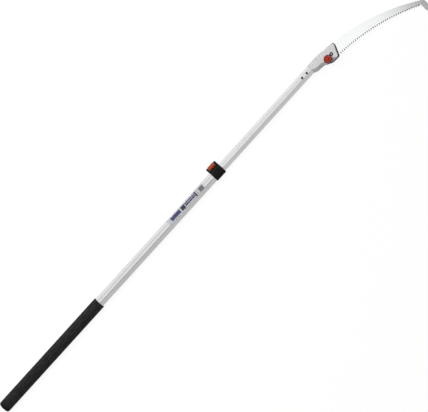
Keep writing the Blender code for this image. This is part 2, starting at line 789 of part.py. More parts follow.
def make_head_fixings():
    """Two screws through the tube and both spigot halves, with nuts on the underside."""
    pieces = []
    top = INNER.half_height + GAP
    nut_low = -top - HEAD_NUT_HEIGHT
    for name, offset in zip(("rear", "front"), HEAD_SCREWS_FROM_JOINT):
        x = HEAD_JOINT + offset
        profile = [
            (0, top + HEAD_SCREW_HEAD),
            (HEAD_SCREW_CROWN, top + HEAD_SCREW_HEAD),
            (HEAD_SCREW_HEAD_RADIUS, top + HEAD_SCREW_HEAD / 2),
            (HEAD_SCREW_HEAD_RADIUS, top),
            (HEAD_SCREW_RADIUS, top),
            (HEAD_SCREW_RADIUS, nut_low),
            (0, nut_low),
        ]
        pieces.append(turned("head_screw_" + name, profile, (x, 0), DARK_STEEL))
        loops = [
            hexagon((x, 0), HEAD_NUT_ACROSS),
            circle((x, 0), HEAD_SCREW_RADIUS + GAP),
        ]
        pieces.append(plate("head_nut_" + name, loops, nut_low, -top, STEEL))
    return pieces


def make_head():
    """Both shells, the liners, and the bolts that carry and clamp the blade."""
    cover = make_shell("head_cover", 1)
    base = make_shell("head_base", -1)
    hollow = neck_hollow()
    for shell in (cover, base):
        boolean(shell, hollow, "DIFFERENCE")
    liners = [make_liner("liner_top", 1), make_liner("liner_bottom", -1)]
    for index in range(len(HEAD_SCREWS_FROM_JOINT)):
        for shell in (cover, base):
            boolean(shell, bpy.data.objects[f"head_screw_cutter_{index}"], "DIFFERENCE")
    pivot = from_joint(PIVOT)
    clamp = from_joint(CLAMP)
    face = INNER.half_height
    deep = 2 * face
    layers = [cover, base, *liners]
    drill(layers, "pivot_hole_cutter", pivot, -deep, deep, PIVOT_RADIUS + GAP)
    drill(layers, "clamp_hole_cutter", clamp, -deep, deep, CLAMP_RADIUS + GAP)
    sink = -face + BOLT_HEAD + 2 * GAP
    drill([base], "pivot_sink_cutter", pivot, -deep, sink, PIVOT_HEAD_RADIUS + GAP)
    drill([base], "clamp_sink_cutter", clamp, -deep, sink, CLAMP_HEAD_RADIUS + GAP)
    recess = face - PIVOT_RECESS
    drill([cover], "pivot_recess_cutter", pivot, recess, deep, PIVOT_RECESS_RADIUS)

    nut_low = recess + GAP
    nut_high = nut_low + PIVOT_NUT_HEIGHT
    bottom = -face + GAP
    shoulder = bottom + BOLT_HEAD
    pivot_top = nut_high + BOLT_END
    pivot_profile = bolt_profile(pivot_top, PIVOT_RADIUS, shoulder, PIVOT_HEAD_RADIUS, bottom)
    pivot_bolt = turned("pivot_bolt", pivot_profile, pivot, STEEL)
    nut_loops = [hexagon(pivot, PIVOT_NUT_ACROSS), circle(pivot, PIVOT_RADIUS + GAP)]
    pivot_nut = plate("pivot_nut", nut_loops, nut_low, nut_high, DARK_STEEL)

    knob_low = CLAMP_SEAT + WASHER_THICKNESS + 2 * GAP
    clamp_top = knob_low + INSERT_LENGTH
    clamp_profile = bolt_profile(clamp_top, CLAMP_RADIUS, shoulder, CLAMP_HEAD_RADIUS, bottom)
    clamp_bolt = turned("clamp_bolt", clamp_profile, clamp, STEEL)
    washer_loops = [circle(clamp, WASHER_RADIUS), circle(clamp, CLAMP_RADIUS + GAP)]
    washer_low = CLAMP_SEAT + GAP
    washer = plate("knob_washer", washer_loops, washer_low, washer_low + WASHER_THICKNESS, STEEL)
    return [cover, base, *liners, pivot_bolt, pivot_nut, clamp_bolt, washer]


def make_knob():
    """The fluted clamp knob with a dished top and a boss, and its threaded insert."""
    centre = from_joint(CLAMP)
    low = CLAMP_SEAT + WASHER_THICKNESS + 2 * GAP
    high = low + KNOB_HEIGHT
    sides = KNOB_FLUTES * KNOB_FLUTE_STEPS
    rim = []
    for side in range(sides):
        angle = math.tau * side / sides
        dip = KNOB_FLUTE_DEPTH * (1 - math.cos(KNOB_FLUTES * angle)) / 2
        rim.append(Vector(centre) + (KNOB_RADIUS - dip) * Vector((math.cos(angle), math.sin(angle))))
    knob = plate("clamp_knob", [rim], low, high, RED_PLASTIC, centre)
    dish = turned(
        "knob_dish_cutter",
        [
            (0, high + KNOB_DISH),
            (KNOB_DISH_RADIUS, high + KNOB_DISH),
            (KNOB_DISH_RADIUS - KNOB_DISH / 2, high - KNOB_DISH),
            (0, high - KNOB_DISH),
        ],
        centre,
        None,
    )
    boolean(knob, dish, "DIFFERENCE")
    boss_low = high - 2 * KNOB_DISH
    boss_high = high + KNOB_BOSS_RISE
    boss = rod("knob_boss", (*centre, boss_low), (*centre, boss_high), KNOB_BOSS_RADIUS)
    boolean(knob, boss, "UNION")
    bore_low = low - KNOB_DISH
    bore_high = low + INSERT_LENGTH + GAP
    bore_radius = INSERT_RADIUS + GAP
    bore = rod("insert_bore_cutter", (*centre, bore_low), (*centre, bore_high), bore_radius)
    boolean(knob, bore, "DIFFERENCE")
    loops = [circle(centre, INSERT_RADIUS), circle(centre, CLAMP_RADIUS + GAP)]
    insert = plate("knob_insert", loops, low, low + INSERT_LENGTH, BRASS, centre)
    return [knob, insert]


def clamp_slot():
    """The arc slot in the tang, which lets the blade swing about its pivot past the bolt."""
    arm = Vector(CLAMP) - Vector(PIVOT)
    middle = math.atan2(arm.y, arm.x)
    half_width = CLAMP_RADIUS + GAP
    travel = BLADE_SWING + GAP / arm.length
    points = []
    for radius, sweep in ((arm.length + half_width, 1), (arm.length - half_width, -1)):
        for step in range(SLOT_STEPS + 1):
            angle = middle + sweep * travel * (2 * step / SLOT_STEPS - 1)
            points.append(Vector(PIVOT) + radius * Vector((math.cos(angle), math.sin(angle))))
        end_angle = middle + sweep * travel
        end = Vector(PIVOT) + arm.length * Vector((math.cos(end_angle), math.sin(end_angle)))
        for step in range(1, SLOT_STEPS):
            angle = end_angle + (0 if sweep > 0 else math.pi) + math.pi * step / SLOT_STEPS
            points.append(end + half_width * Vector((math.cos(angle), math.sin(angle))))
    return points


def toothed_edge():
    """Points along the teeth from the tip end back to the heel."""
    length = bow_length(TEETH_START, TEETH_END, TEETH_RISE)
    count = int(length / TOOTH_PITCH)
    points = []
    for tooth in range(count, 0, -1):
        gullet, normal = bow(TEETH_START, TEETH_END, TEETH_RISE, tooth / count)
        points.append(gullet + normal * TOOTH_DEPTH)
        tip, normal = bow(TEETH_START, TEETH_END, TEETH_RISE, (tooth - 0.5) / count)
        points.append(tip)
    heel, normal = bow(TEETH_START, TEETH_END, TEETH_RISE, 0)
    points.append(heel + normal * TOOTH_DEPTH)
    return points


def hook_outline():
    """Points round the hook, from the end of the spine to the first gullet."""
    before = SPINE_END
    middle = (HOOK_MIDDLE, HOOK_END + HOOK_HALF_WIDTH)
    outer_low = (middle[0] + HOOK_HALF_WIDTH, middle[1])
    points = fillet(before, HOOK_OUTER, outer_low, HOOK_OUTER_RADIUS, CORNER_STEPS)
    for step in range(HOOK_STEPS + 1):
        angle = -HOOK_LEAN - math.pi * step / HOOK_STEPS
        points.append(Vector(middle) + HOOK_HALF_WIDTH * Vector((math.cos(angle), math.sin(angle))))
    points.append(Vector(HOOK_CROOK))
    return points


def make_blade():
    """The curved blade with its tang, slot, teeth and hook. It turns about the pivot."""
    tang = []
    for step in range(TANG_STEPS + 1):
        angle = math.pi + TANG_SPREAD * (1 - 2 * step / TANG_STEPS)
        tang.append(Vector(PIVOT) + TANG_RADIUS * Vector((math.cos(angle), math.sin(angle))))
    shares = [step / SPINE_STEPS for step in range(SPINE_STEPS + 1)]
    spine = [bow(SPINE_START, SPINE_END, SPINE_RISE, share)[0] for share in shares]
    outline = tang + spine + hook_outline() + toothed_edge() + [Vector(HEEL)]
    hole = circle(PIVOT, PIVOT_RADIUS + GAP)
    joint = Vector((HEAD_JOINT, 0))
    loops = [[point + joint for point in loop] for loop in (outline, hole, clamp_slot())]
    half = BLADE_THICKNESS / 2
    return plate("saw_blade", loops, -half, half, BLADE_STEEL, from_joint(PIVOT))


for leftover in list(bpy.data.objects):
    bpy.data.objects.remove(leftover)
parts = bpy.data.collections.new("pole_saw")
cutters = bpy.data.collections.new("cutters")
bpy.context.scene.collection.children.link(parts)
bpy.context.scene.collection.children.link(cutters)

make_outer_tube()
make_grip()
make_collar()
make_lever()
make_shoe()
upper_pole = holder("upper_pole", (HEAD_JOINT, 0, 0))
carry(upper_pole, make_inner_tube() + make_head_fixings() + make_head())
carry(upper_pole, make_knob() + [make_blade()])
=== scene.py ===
# %% [markdown]
# # A telescopic pole saw
# The saw lies on its side on a pale floor. Its CAD solids give the sizes and places, and this
# lesson builds the looks around them: first the view and the light, then the finishes, then the
# pieces themselves.

import math

import bmesh
import bpy
from mathutils import Matrix, Vector


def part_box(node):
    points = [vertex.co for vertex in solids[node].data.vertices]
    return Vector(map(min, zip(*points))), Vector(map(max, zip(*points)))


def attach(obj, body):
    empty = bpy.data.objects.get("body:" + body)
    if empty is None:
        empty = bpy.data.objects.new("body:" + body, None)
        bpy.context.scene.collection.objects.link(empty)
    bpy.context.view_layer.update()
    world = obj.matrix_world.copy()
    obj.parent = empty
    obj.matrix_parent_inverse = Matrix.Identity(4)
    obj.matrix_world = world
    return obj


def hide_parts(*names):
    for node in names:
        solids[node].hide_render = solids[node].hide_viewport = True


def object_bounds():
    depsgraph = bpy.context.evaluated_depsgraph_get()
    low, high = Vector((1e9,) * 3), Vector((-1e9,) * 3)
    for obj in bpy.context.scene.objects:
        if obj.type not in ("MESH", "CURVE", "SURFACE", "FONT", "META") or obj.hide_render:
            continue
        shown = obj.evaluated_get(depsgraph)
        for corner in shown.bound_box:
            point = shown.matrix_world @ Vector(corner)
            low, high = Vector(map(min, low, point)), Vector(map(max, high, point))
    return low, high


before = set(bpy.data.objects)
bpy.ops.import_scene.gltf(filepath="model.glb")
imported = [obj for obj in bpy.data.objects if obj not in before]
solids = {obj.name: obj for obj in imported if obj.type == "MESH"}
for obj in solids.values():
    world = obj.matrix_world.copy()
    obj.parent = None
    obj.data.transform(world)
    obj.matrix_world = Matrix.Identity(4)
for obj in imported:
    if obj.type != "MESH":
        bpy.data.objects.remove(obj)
cad_low, cad_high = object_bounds()
print("solids:", len(solids))


# %% [markdown]
# ## Units
# Real sizes are easiest to read in millimetres, and Blender works in metres. Two helpers carry
# lengths and places across. Only the lamps and the floor are given in metres.


# %% Millimetres and metres
def mm(size):
    """Metres from a length or a place in millimetres."""
    return size / 1000


def in_mm(size):
    """Millimetres from a length or a place in metres."""
    return size * 1000


print("the saw is", round(in_mm(cad_high.x - cad_low.x)), "mm long")

# %% [markdown]
# ## The camera
# The photograph looks down on the saw from far off, so lines hardly converge: a long lens does
# that. The pole climbs at 48 degrees from left to right, and the camera leans 9 degrees towards
# the teeth, which is why the tooth side of the pole shows a wider band than the spine side.
# The aim point is the place on the pole's middle plane at the centre of the photograph.


# %% Place the camera
def placed(name, data):
    """An object for a camera, a lamp or a mesh, linked to the scene."""
    thing = bpy.data.objects.new(name, data)
    bpy.context.scene.collection.objects.link(thing)
    return thing


POLE_CLIMB = math.radians(47.79)
LEAN = math.radians(9)
AIM_ALONG = mm(951.7)
AIM_ACROSS = mm(-65.4)
SEEN_WIDTH = mm(1399.6)
LENS = 100
SENSOR = 36

toward = Vector((0, -math.sin(LEAN), math.cos(LEAN)))
across = Vector((0, math.cos(LEAN), math.sin(LEAN)))
along = Vector((1, 0, 0))
right = along * math.cos(POLE_CLIMB) - across * math.sin(POLE_CLIMB)
upward = along * math.sin(POLE_CLIMB) + across * math.cos(POLE_CLIMB)

lens = bpy.data.cameras.new("long lens")
lens.lens = LENS
lens.sensor_width = SENSOR
camera = placed("camera", lens)
aim = along * AIM_ALONG + across * AIM_ACROSS
distance = SEEN_WIDTH * LENS / SENSOR
camera.matrix_world = Matrix.Translation(aim + toward * distance) @ Matrix(
    (right, upward, toward)
).transposed().to_4x4()
bpy.context.scene.camera = camera
print("camera distance:", round(distance, 2), "m")

# %% [markdown]
# ## One helper for every node
# A material is a small graph. This helper adds one node, gives it its settings and joins its
# inputs to other nodes. Colours are written as they look on a screen and turned to the linear
# values that light is reckoned in, by the curve that sRGB screens follow.


# %% Colours and nodes
def linear(colour):
    """The linear value of a colour written as #rrggbb."""
    shares = [int(colour[place : place + 2], 16) / 255 for place in (1, 3, 5)]
    low = [share / 12.92 for share in shares]
    high = [((share + 0.055) / 1.055) ** 2.4 for share in shares]
    return tuple(b if s > 0.04045 else a for s, a, b in zip(shares, low, high)) + (1,)


def add(tree, kind, settings=None, links=None):
    """Adds a node of a kind with its settings, fed by sockets or by nodes' first outputs."""
    node = tree.nodes.new("ShaderNode" + kind)
    for key, value in (settings or {}).items():
        if isinstance(value, str) and value.startswith("#"):
            value = linear(value)
        if key == "stops":
            for index, (place, colour) in enumerate(value):
                stops = node.color_ramp.elements
                stop = stops[index] if index < 2 else stops.new(place)
                stop.position = place
                stop.color = linear(colour)
        elif isinstance(key, int) or key in node.inputs:
            node.inputs[key].default_value = value
        else:
            setattr(node, key, value)
    for key, source in (links or {}).items():
        if isinstance(source, bpy.types.Node):
            source = source.outputs[0]
        tree.links.new(source, node.inputs[key])
    return node


def begin(name):
    """A new material, its tree and the piece's own coordinates."""
    material = bpy.data.materials.new(name)
    material.use_nodes = True
    material.node_tree.nodes.clear()
    place = add(material.node_tree, "TexCoord").outputs["Object"]
    return material, material.node_tree, place


print("a mid grey of #808080 is", round(linear("#808080")[0], 3), "in linear light")

# %% [markdown]
# ## The floor
# The photograph has a white ground and soft light. The floor is one large face at the height of
# the saw's underside. Like every shape here it is made as a bmesh, Blender's editable form of a
# mesh, and then turned into a mesh that an object can show.


# %% Floor
def meshed(name, work):
    """A mesh from a bmesh, which is let go."""
    mesh = bpy.data.meshes.new(name)
    work.to_mesh(mesh)
    work.free()
    return mesh


FLOOR_HALF = 8.0
work = bmesh.new()
bmesh.ops.create_grid(work, x_segments=1, y_segments=1, size=FLOOR_HALF)
bmesh.ops.translate(work, vec=(AIM_ALONG, 0, cad_low.z), verts=work.verts)
floor = placed("floor", meshed("floor", work))
print("floor at", round(in_mm(cad_low.z), 1), "mm")

# %% [markdown]
# ## The floor's paint
# The paint is a darker grey than it looks, which keeps the shadow. It adds light of its own only
# for what is looked at straight, in a reflection or through something clear, and so it reads as
# white there without lighting the saw from below.

# %% Floor paint
FLOOR_GLOW = 0.915
material, tree, place = begin("matt white floor")
path = add(tree, "LightPath").outputs
links = {0: path["Is Camera Ray"], 1: path["Is Glossy Ray"]}
mirrored = add(tree, "Math", {"operation": "MAXIMUM"}, links)
links = {0: mirrored, 1: path["Is Transmission Ray"]}
seen = add(tree, "Math", {"operation": "MAXIMUM"}, links)
lift = add(tree, "Math", {"operation": "MULTIPLY", 1: FLOOR_GLOW}, {0: seen})
paint = add(tree, "BsdfDiffuse", {"Color": "#595959"})
glow = add(tree, "Emission", {"Color": "#ffffff"}, {"Strength": lift})
both = add(tree, "AddShader", {}, {0: paint, 1: glow})
add(tree, "OutputMaterial", {}, {"Surface": both})
floor.data.materials.append(material)
print("the floor glows at", FLOOR_GLOW)

# %% [markdown]
# ## Soft lamps
# The flat of the pole and its spine slope are bright, and its tooth slope is a clear step darker,
# so most of the light comes from above and from the spine side. Metal shows what it mirrors: the
# flat mirrors what is overhead, the spine slope what stands low on its side, so each of them gets
# a soft lamp of its own. The side lamps are only for the metal to mirror. The key lamp only casts
# light, and stands past the butt. The overhead lamp ends where the blade's mirrored light has to
# fade towards the tip.


# %% Lamps
WHITE_FACE = 4  # watts on each square metre of a lamp that make its face look white


def softbox(name, centre, target, size, radiance):
    """A large soft lamp that adds a set brightness over its face."""
    lamp = bpy.data.lights.new(name, "AREA")
    lamp.shape = "RECTANGLE"
    lamp.size, lamp.size_y = size
    lamp.energy = radiance * WHITE_FACE * size[0] * size[1]
    holder = placed(name, lamp)
    aim_line = Vector(target) - Vector(centre)
    holder.matrix_world = (
        Matrix.Translation(centre) @ aim_line.to_track_quat("-Z", "Y").to_matrix().to_4x4()
    )
    holder.visible_camera = False
    return holder


# Each lamp's middle, the place it faces, its two sides and its brightness
softbox("overhead lamp", (0.82, 1.0, 4.5), (0.82, 1.0, 0), (4.24, 4.0), 0.745)
spine_side = softbox("spine side lamp", (0.9, 4.0, 1.3), (0.9, 0, 0.1), (7.0, 2.6), 0.8)
tooth_side = softbox("tooth side lamp", (0.9, -3.4, 2.0), (0.9, 0, 0), (7.0, 2.6), 0.46)
for lamp in (spine_side, tooth_side):
    lamp.visible_diffuse = False
key = softbox("key lamp", (-0.31, 1.64, 3.65), (0.95, 0, 0), (4.0, 4.0), 2.4)
key.visible_glossy = False
print("four soft lamps")

# %% [markdown]
# ## The room
# The room around the saw is dim for the metal to mirror. Where it is looked at past the floor's
# edge it is white, so that the ground has no end.

# %% Surroundings
ROOM_LIGHT = 0.14
world = bpy.data.worlds.new("pale room")
bpy.context.scene.world = world
world.use_nodes = True
room = world.node_tree.nodes["Background"]
room.inputs["Color"].default_value = linear("#ffffff")
looked_at = add(world.node_tree, "LightPath").outputs["Is Camera Ray"]
settings = {"To Min": ROOM_LIGHT, "To Max": 1.0}
level = add(world.node_tree, "MapRange", settings, {"Value": looked_at})
world.node_tree.links.new(level.outputs[0], room.inputs["Strength"])
bpy.context.scene.view_settings.view_transform = "Standard"
print("the room is at", ROOM_LIGHT)

# %% [markdown]
# ## Grain in real millimetres
# Most finishes here are a noise of some real size, squeezed or drawn out along the piece. A
# Mapping node does the squeezing. It is given how many blots go into a metre along each axis,
# and the noise after it has a scale of 1. Noise mostly stays between a quarter and three
# quarters, so those are the ends from which a Map Range node carries it to a roughness, and the
# two colours of a finish stand at about the same places on its colour ramp.


# %% Blots to the metre
def per_metre(*sizes):
    """How many blots of these sizes in millimetres go into a metre."""
    return [1 / mm(size) for size in sizes]


NOISE_ENDS = {"From Min": 0.25, "From Max": 0.75}
print("grain of 0.4 mm repeats", round(per_metre(0.4)[0]), "times a metre")

# %% [markdown]
# ## Anodised aluminium for the pole
# The tubes are pressed through a die, which leaves faint lines along them, and are then etched
# and anodised. To the eye that is a silver grey metal, satin, with soft long streaks. The lines
# are about 0.5 mm apart and run for some 140 mm, so the noise is drawn out along X, and wider
# clouds of 60 by 18 mm lie over them. The lower tube is a shade greyer than the upper one.


# %% Anodised tubes
def anodised(name, dark, light):
    """A satin metal with soft long lines from the die."""
    material, tree, place = begin(name)
    drawn = add(tree, "Mapping", {"Scale": per_metre(140, 0.5, 0.5)}, {"Vector": place})
    die_lines = add(tree, "TexNoise", {"Scale": 1, "Detail": 3}, {"Vector": drawn})
    soft = add(tree, "Mapping", {"Scale": per_metre(60, 18, 18)}, {"Vector": place})
    clouds = add(tree, "TexNoise", {"Scale": 1, "Detail": 4}, {"Vector": soft})
    mixed = add(tree, "Mix", {"data_type": "FLOAT", "Factor": 0.45}, {"A": die_lines, "B": clouds})
    tint = add(tree, "ValToRGB", {"stops": [(0.3, dark), (0.7, light)]}, {"Fac": mixed})
    settings = {**NOISE_ENDS, "To Min": 0.24, "To Max": 0.31}
    satin = add(tree, "MapRange", settings, {"Value": die_lines})
    ridges = add(tree, "Bump", {"Distance": mm(0.004)}, {"Height": die_lines})
    links = {"Base Color": tint, "Roughness": satin, "Normal": ridges}
    shader = add(tree, "BsdfPrincipled", {"Metallic": 1.0}, links)
    add(tree, "OutputMaterial", {}, {"Surface": shader})
    return material


GREYER_ANODISED = anodised("satin anodised aluminium, greyer", "#d6d6d6", "#e0e0df")
ANODISED = anodised("satin anodised aluminium, extruded", "#dadada", "#e5e5e4")
print(GREYER_ANODISED.name, "and", ANODISED.name)


# %% [markdown]
# ## Painted head with painted shade
# The two halves of the head are castings with a silver grey paint. Their flat faces are light and
# even, and so is the slope on the spine side. Darker copies of the same paint are painted shade:
# on the slopes and rounds on the tooth side and a narrow strip on the spine side, where less light
# falls, and darkest in the round recess of the pivot. The paint's skin is a faint orange peel
# of about 1.5 mm. The flakes in the paint are finer than can be seen here, so they are drawn at
# 0.5 mm.


# %% Silver painted casting
def cast(name, dark, light, peel_mm):
    """Painted metal with flakes over an orange peel skin."""
    material, tree, place = begin(name)
    fine = add(tree, "Mapping", {"Scale": per_metre(1.5, 1.5, 1.5)}, {"Vector": place})
    peel = add(tree, "TexNoise", {"Scale": 1, "Detail": 1}, {"Vector": fine})
    flakes = add(tree, "TexVoronoi", {"Scale": per_metre(0.5)[0]}, {"Vector": place})
    flake_grey = add(tree, "RGBToBW", {}, {"Color": flakes.outputs["Color"]})
    coarse = add(tree, "Mapping", {"Scale": per_metre(24, 24, 24)}, {"Vector": place})
    wide = add(tree, "TexNoise", {"Scale": 1, "Detail": 3}, {"Vector": coarse})
    mixed = add(tree, "Mix", {"data_type": "FLOAT", "Factor": 0.5}, {"A": flake_grey, "B": wide})
    tint = add(tree, "ValToRGB", {"stops": [(0.25, dark), (0.75, light)]}, {"Fac": mixed})
    settings = {**NOISE_ENDS, "To Min": 0.42, "To Max": 0.52}
    satin = add(tree, "MapRange", settings, {"Value": wide})
    orange_peel = add(tree, "Bump", {"Distance": mm(peel_mm)}, {"Height": peel})
    links = {"Base Color": tint, "Roughness": satin, "Normal": orange_peel}
    shader = add(tree, "BsdfPrincipled", {"Specular IOR Level": 0.12}, links)
    add(tree, "OutputMaterial", {}, {"Surface": shader})
    return material


PAINTED = cast("plain silver grey paint", "#dadadb", "#e5e5e6", 0.012)
# A darker copy of the paint is painted shade for the head's sides.
PAINTED_SHADE_SIDES = cast("silver grey paint, darker as painted shade", "#bcbcbd", "#c8c8c9", 0.03)
# The darkest copy of the paint is painted shade for the pivot's recess.
RECESS_SHADE_PAINT = cast("silver grey paint, darkest as painted recess shade", "#33322f", "#4b4945", 0.03)
print(PAINTED.name, "and", PAINTED_SHADE_SIDES.name, "and", RECESS_SHADE_PAINT.name)


# %% [markdown]
# ## Black mouldings
# The collar, plugs and friction plates are glass filled nylon from a mould with an etched skin:
# a fine pit pattern of about 0.6 mm, dull, and a touch lighter on worn places. The sleeve of the
# grip is softer and duller still, a brownish black with pebbles of about 1.2 mm and a mottle
# where hands have rubbed it. The pits trap light, so both reflect less than a smooth plastic.
# Rubbed places are a little glossier than the rest.


# %% Black nylon and rubber
POLISH = 0.06


def moulded(name, dark, light, pebble_mm, depth_mm, roughness, gleam):
    """A moulded plastic with an etched skin and faint wear."""
    material, tree, place = begin(name)
    settings = {"Scale": per_metre(pebble_mm)[0], "feature": "SMOOTH_F1", "Smoothness": 0.6}
    pits = add(tree, "TexVoronoi", settings, {"Vector": place})
    hands = add(tree, "Mapping", {"Scale": per_metre(14, 7, 7)}, {"Vector": place})
    settings = {"Scale": 1, "Detail": 6, "Roughness": 0.65}
    rubbed = add(tree, "TexNoise", settings, {"Vector": hands})
    tint = add(tree, "ValToRGB", {"stops": [(0.35, dark), (0.68, light)]}, {"Fac": rubbed})
    settings = {**NOISE_ENDS, "To Min": roughness + POLISH, "To Max": roughness - POLISH}
    dull = add(tree, "MapRange", settings, {"Value": rubbed})
    skin = add(tree, "Bump", {"Distance": mm(depth_mm)}, {"Height": pits})
    links = {"Base Color": tint, "Roughness": dull, "Normal": skin}
    shader = add(tree, "BsdfPrincipled", {"Specular IOR Level": gleam}, links)
    add(tree, "OutputMaterial", {}, {"Surface": shader})
    return material


NYLON = moulded(
    "black glass filled nylon, etched mould", "#111112", "#19191a", 0.6, 0.03, 0.52, 0.12
)
RUBBER = moulded("black rubber sleeve, pebbled mould", "#121213", "#292828", 1.2, 0.09, 0.7, 0.25)
print(NYLON.name, "and", RUBBER.name)

# %% [markdown]
# ## Red mouldings
# The lever and the knob are a dyed ABS from a polished mould: strong orange red and glossy. It
# has a slight waviness of about 8 mm where the plastic shrank, and dust in spots of 2.5 mm takes
# some of the gloss. Each colour comes from a function of its own, so that the lever and the knob
# can share all the rest.


# %% Red plastic
def dyed(name, tint_of):
    """A glossy dyed plastic. Its colour node comes from a function of tree, place and dust."""
    material, tree, place = begin(name)
    slow = add(tree, "Mapping", {"Scale": per_metre(8, 8, 8)}, {"Vector": place})
    waves = add(tree, "TexNoise", {"Scale": 1, "Detail": 1}, {"Vector": slow})
    quick = add(tree, "Mapping", {"Scale": per_metre(2.5, 2.5, 2.5)}, {"Vector": place})
    settings = {"Scale": 1, "Detail": 6, "Roughness": 0.7}
    dust = add(tree, "TexNoise", settings, {"Vector": quick})
    settings = {**NOISE_ENDS, "To Min": 0.28, "To Max": 0.4}
    gloss = add(tree, "MapRange", settings, {"Value": dust})
    swell = add(tree, "Bump", {"Distance": mm(0.05)}, {"Height": waves})
    links = {"Base Color": tint_of(tree, place, dust), "Roughness": gloss, "Normal": swell}
    shader = add(tree, "BsdfPrincipled", {"Specular IOR Level": 0.3}, links)
    add(tree, "OutputMaterial", {}, {"Surface": shader})
    return material


def even_red(tree, place, dust):
    """Nearly one colour, a little dulled by dust."""
    return add(tree, "ValToRGB", {"stops": [(0.3, "#a23c17"), (0.7, "#b64a20")]}, {"Fac": dust})


LEVER_RED = dyed("orange red ABS, polished mould", even_red)
print(LEVER_RED.name)

# %% [markdown]
# ## Painted light on the knob
# The knob's colour carries painted light: a painted highlight on its boss, and rings of painted
# shade round the boss and on the rim and its flutes. So its colour follows the distance from its
# axis, made a little uneven by the dust. A Mapping node moves the axis to nought and flattens the
# height away.

# %% Red with painted light
KNOB_RADIUS = 14.1
CLAMP = (1554.3, -21.3)
UNEVEN = 0.05
# The stops paint a highlight at the middle and shade in rings out to the rim.
# Each colour stands at its share of the knob's radius
KNOB_LIGHT_AND_SHADE = [
    (0.06, "#f0705c"),
    (0.18, "#8f0a02"),
    (0.34, "#920c02"),
    (0.5, "#c84024"),
    (0.66, "#b8341c"),
    (0.78, "#7c140a"),
    (0.92, "#801c10"),
    (1.0, "#a04a35"),
]


def red_with_painted_light(tree, place, dust):
    """A painted highlight in the middle and rings of painted shade out to the rim."""
    axis = [-mm(value) for value in CLAMP] + [0]
    centred = add(tree, "Mapping", {"Location": axis, "Scale": (1, 1, 0)}, {"Vector": place})
    reach = add(tree, "VectorMath", {"operation": "LENGTH"}, {0: centred})
    settings = {"From Min": 0, "From Max": mm(KNOB_RADIUS)}
    share = add(tree, "MapRange", settings, {"Value": reach.outputs["Value"]})
    settings = {**NOISE_ENDS, "To Min": -UNEVEN, "To Max": UNEVEN}
    shift = add(tree, "MapRange", settings, {"Value": dust})
    total = add(tree, "Math", {"operation": "ADD"}, {0: share, 1: shift})
    return add(tree, "ValToRGB", {"stops": KNOB_LIGHT_AND_SHADE}, {"Fac": total})


KNOB_RED = dyed("orange red ABS with painted highlight and shade", red_with_painted_light)
print(KNOB_RED.name)

# %% [markdown]
# ## Small hardware
# Screws, nuts and bolts are turned or pressed steel. Plating leaves them bright with a slight
# mottle of about a millimetre, and oil blacking makes them nearly black. The insert in the knob
# is brass.


# %% Plated, blackened and brass hardware
MOTTLED = 0.12


def hardware(name, dark, light, roughness):
    """A metal with a slight mottle from its plating."""
    material, tree, place = begin(name)
    spotty = add(tree, "Mapping", {"Scale": per_metre(1.2, 1.2, 1.2)}, {"Vector": place})
    mottle = add(tree, "TexNoise", {"Scale": 1, "Detail": 4}, {"Vector": spotty})
    tint = add(tree, "ValToRGB", {"stops": [(0.3, dark), (0.7, light)]}, {"Fac": mottle})
    settings = {**NOISE_ENDS, "To Min": roughness, "To Max": roughness + MOTTLED}
    gloss = add(tree, "MapRange", settings, {"Value": mottle})
    skin = add(tree, "Bump", {"Distance": mm(0.01)}, {"Height": mottle})
    links = {"Base Color": tint, "Roughness": gloss, "Normal": skin}
    shader = add(tree, "BsdfPrincipled", {"Metallic": 1.0}, links)
    add(tree, "OutputMaterial", {}, {"Surface": shader})
    return material


ZINC = hardware("bright zinc plated steel", "#c9cacc", "#dddee0", 0.22)
BLACKED = hardware("oil blacked steel", "#18181a", "#262629", 0.42)
BRASS = hardware("turned brass", "#b8923f", "#d0ab58", 0.25)
print(ZINC.name, BLACKED.name, BRASS.name)

# %% [markdown]
# ## The blade's steel
# The blade is ground along its length and plated with hard chrome: the brightest metal here,
# smooth enough to mirror the lamp overhead softly. The grinding lines are much finer than a
# millimetre and are drawn at 0.8 mm. They follow the blade, which runs off at a slope from the
# pole. The teeth are hardened with a pulse of current and ground on alternate sides. The ground
# facets are nearly black: partly their heat tint, and partly painted shade for facets that lean
# away from the light.

# %% Blade and teeth
BLADE_SLOPE = math.radians(22)
CHROMED, tree, place = begin("ground and hard chromed blade steel")
sloped = add(tree, "Mapping", {"Rotation": (0, 0, BLADE_SLOPE)}, {"Vector": place})
drawn = add(tree, "Mapping", {"Scale": per_metre(70, 0.8, 0.8)}, {"Vector": sloped})
scratch = add(tree, "TexNoise", {"Scale": 1, "Detail": 3}, {"Vector": drawn})
soft = add(tree, "Mapping", {"Scale": per_metre(45, 20, 20)}, {"Vector": place})
smear = add(tree, "TexNoise", {"Scale": 1, "Detail": 4}, {"Vector": soft})
mixed = add(tree, "Mix", {"data_type": "FLOAT", "Factor": 0.5}, {"A": scratch, "B": smear})
tint = add(tree, "ValToRGB", {"stops": [(0.3, "#eff0f0"), (0.7, "#f8f9f9")]}, {"Fac": mixed})
settings = {**NOISE_ENDS, "To Min": 0.12, "To Max": 0.17}
polish = add(tree, "MapRange", settings, {"Value": mixed})
ground = add(tree, "Bump", {"Distance": mm(0.002)}, {"Height": scratch})
links = {"Base Color": tint, "Roughness": polish, "Normal": ground}
shader = add(tree, "BsdfPrincipled", {"Metallic": 1.0}, links)
add(tree, "OutputMaterial", {}, {"Surface": shader})
# The dark flanks are partly heat tint and partly painted shade.
TOOTH = hardware("pulse hardened tooth flank, partly painted shade", "#17181c", "#24262c", 0.34)
print(CHROMED.name, TOOTH.name)


# %% [markdown]
# ## Label film and inks
# A label sits on the bright faces of the lower tube. It is a thin greyish film, and this one
# carries only plain blocks and short bars of ink. Ink on film dries a little uneven, in spots of
# under a millimetre and in a wider blush along the print.


# %% Film and inks
DRIED = 0.05


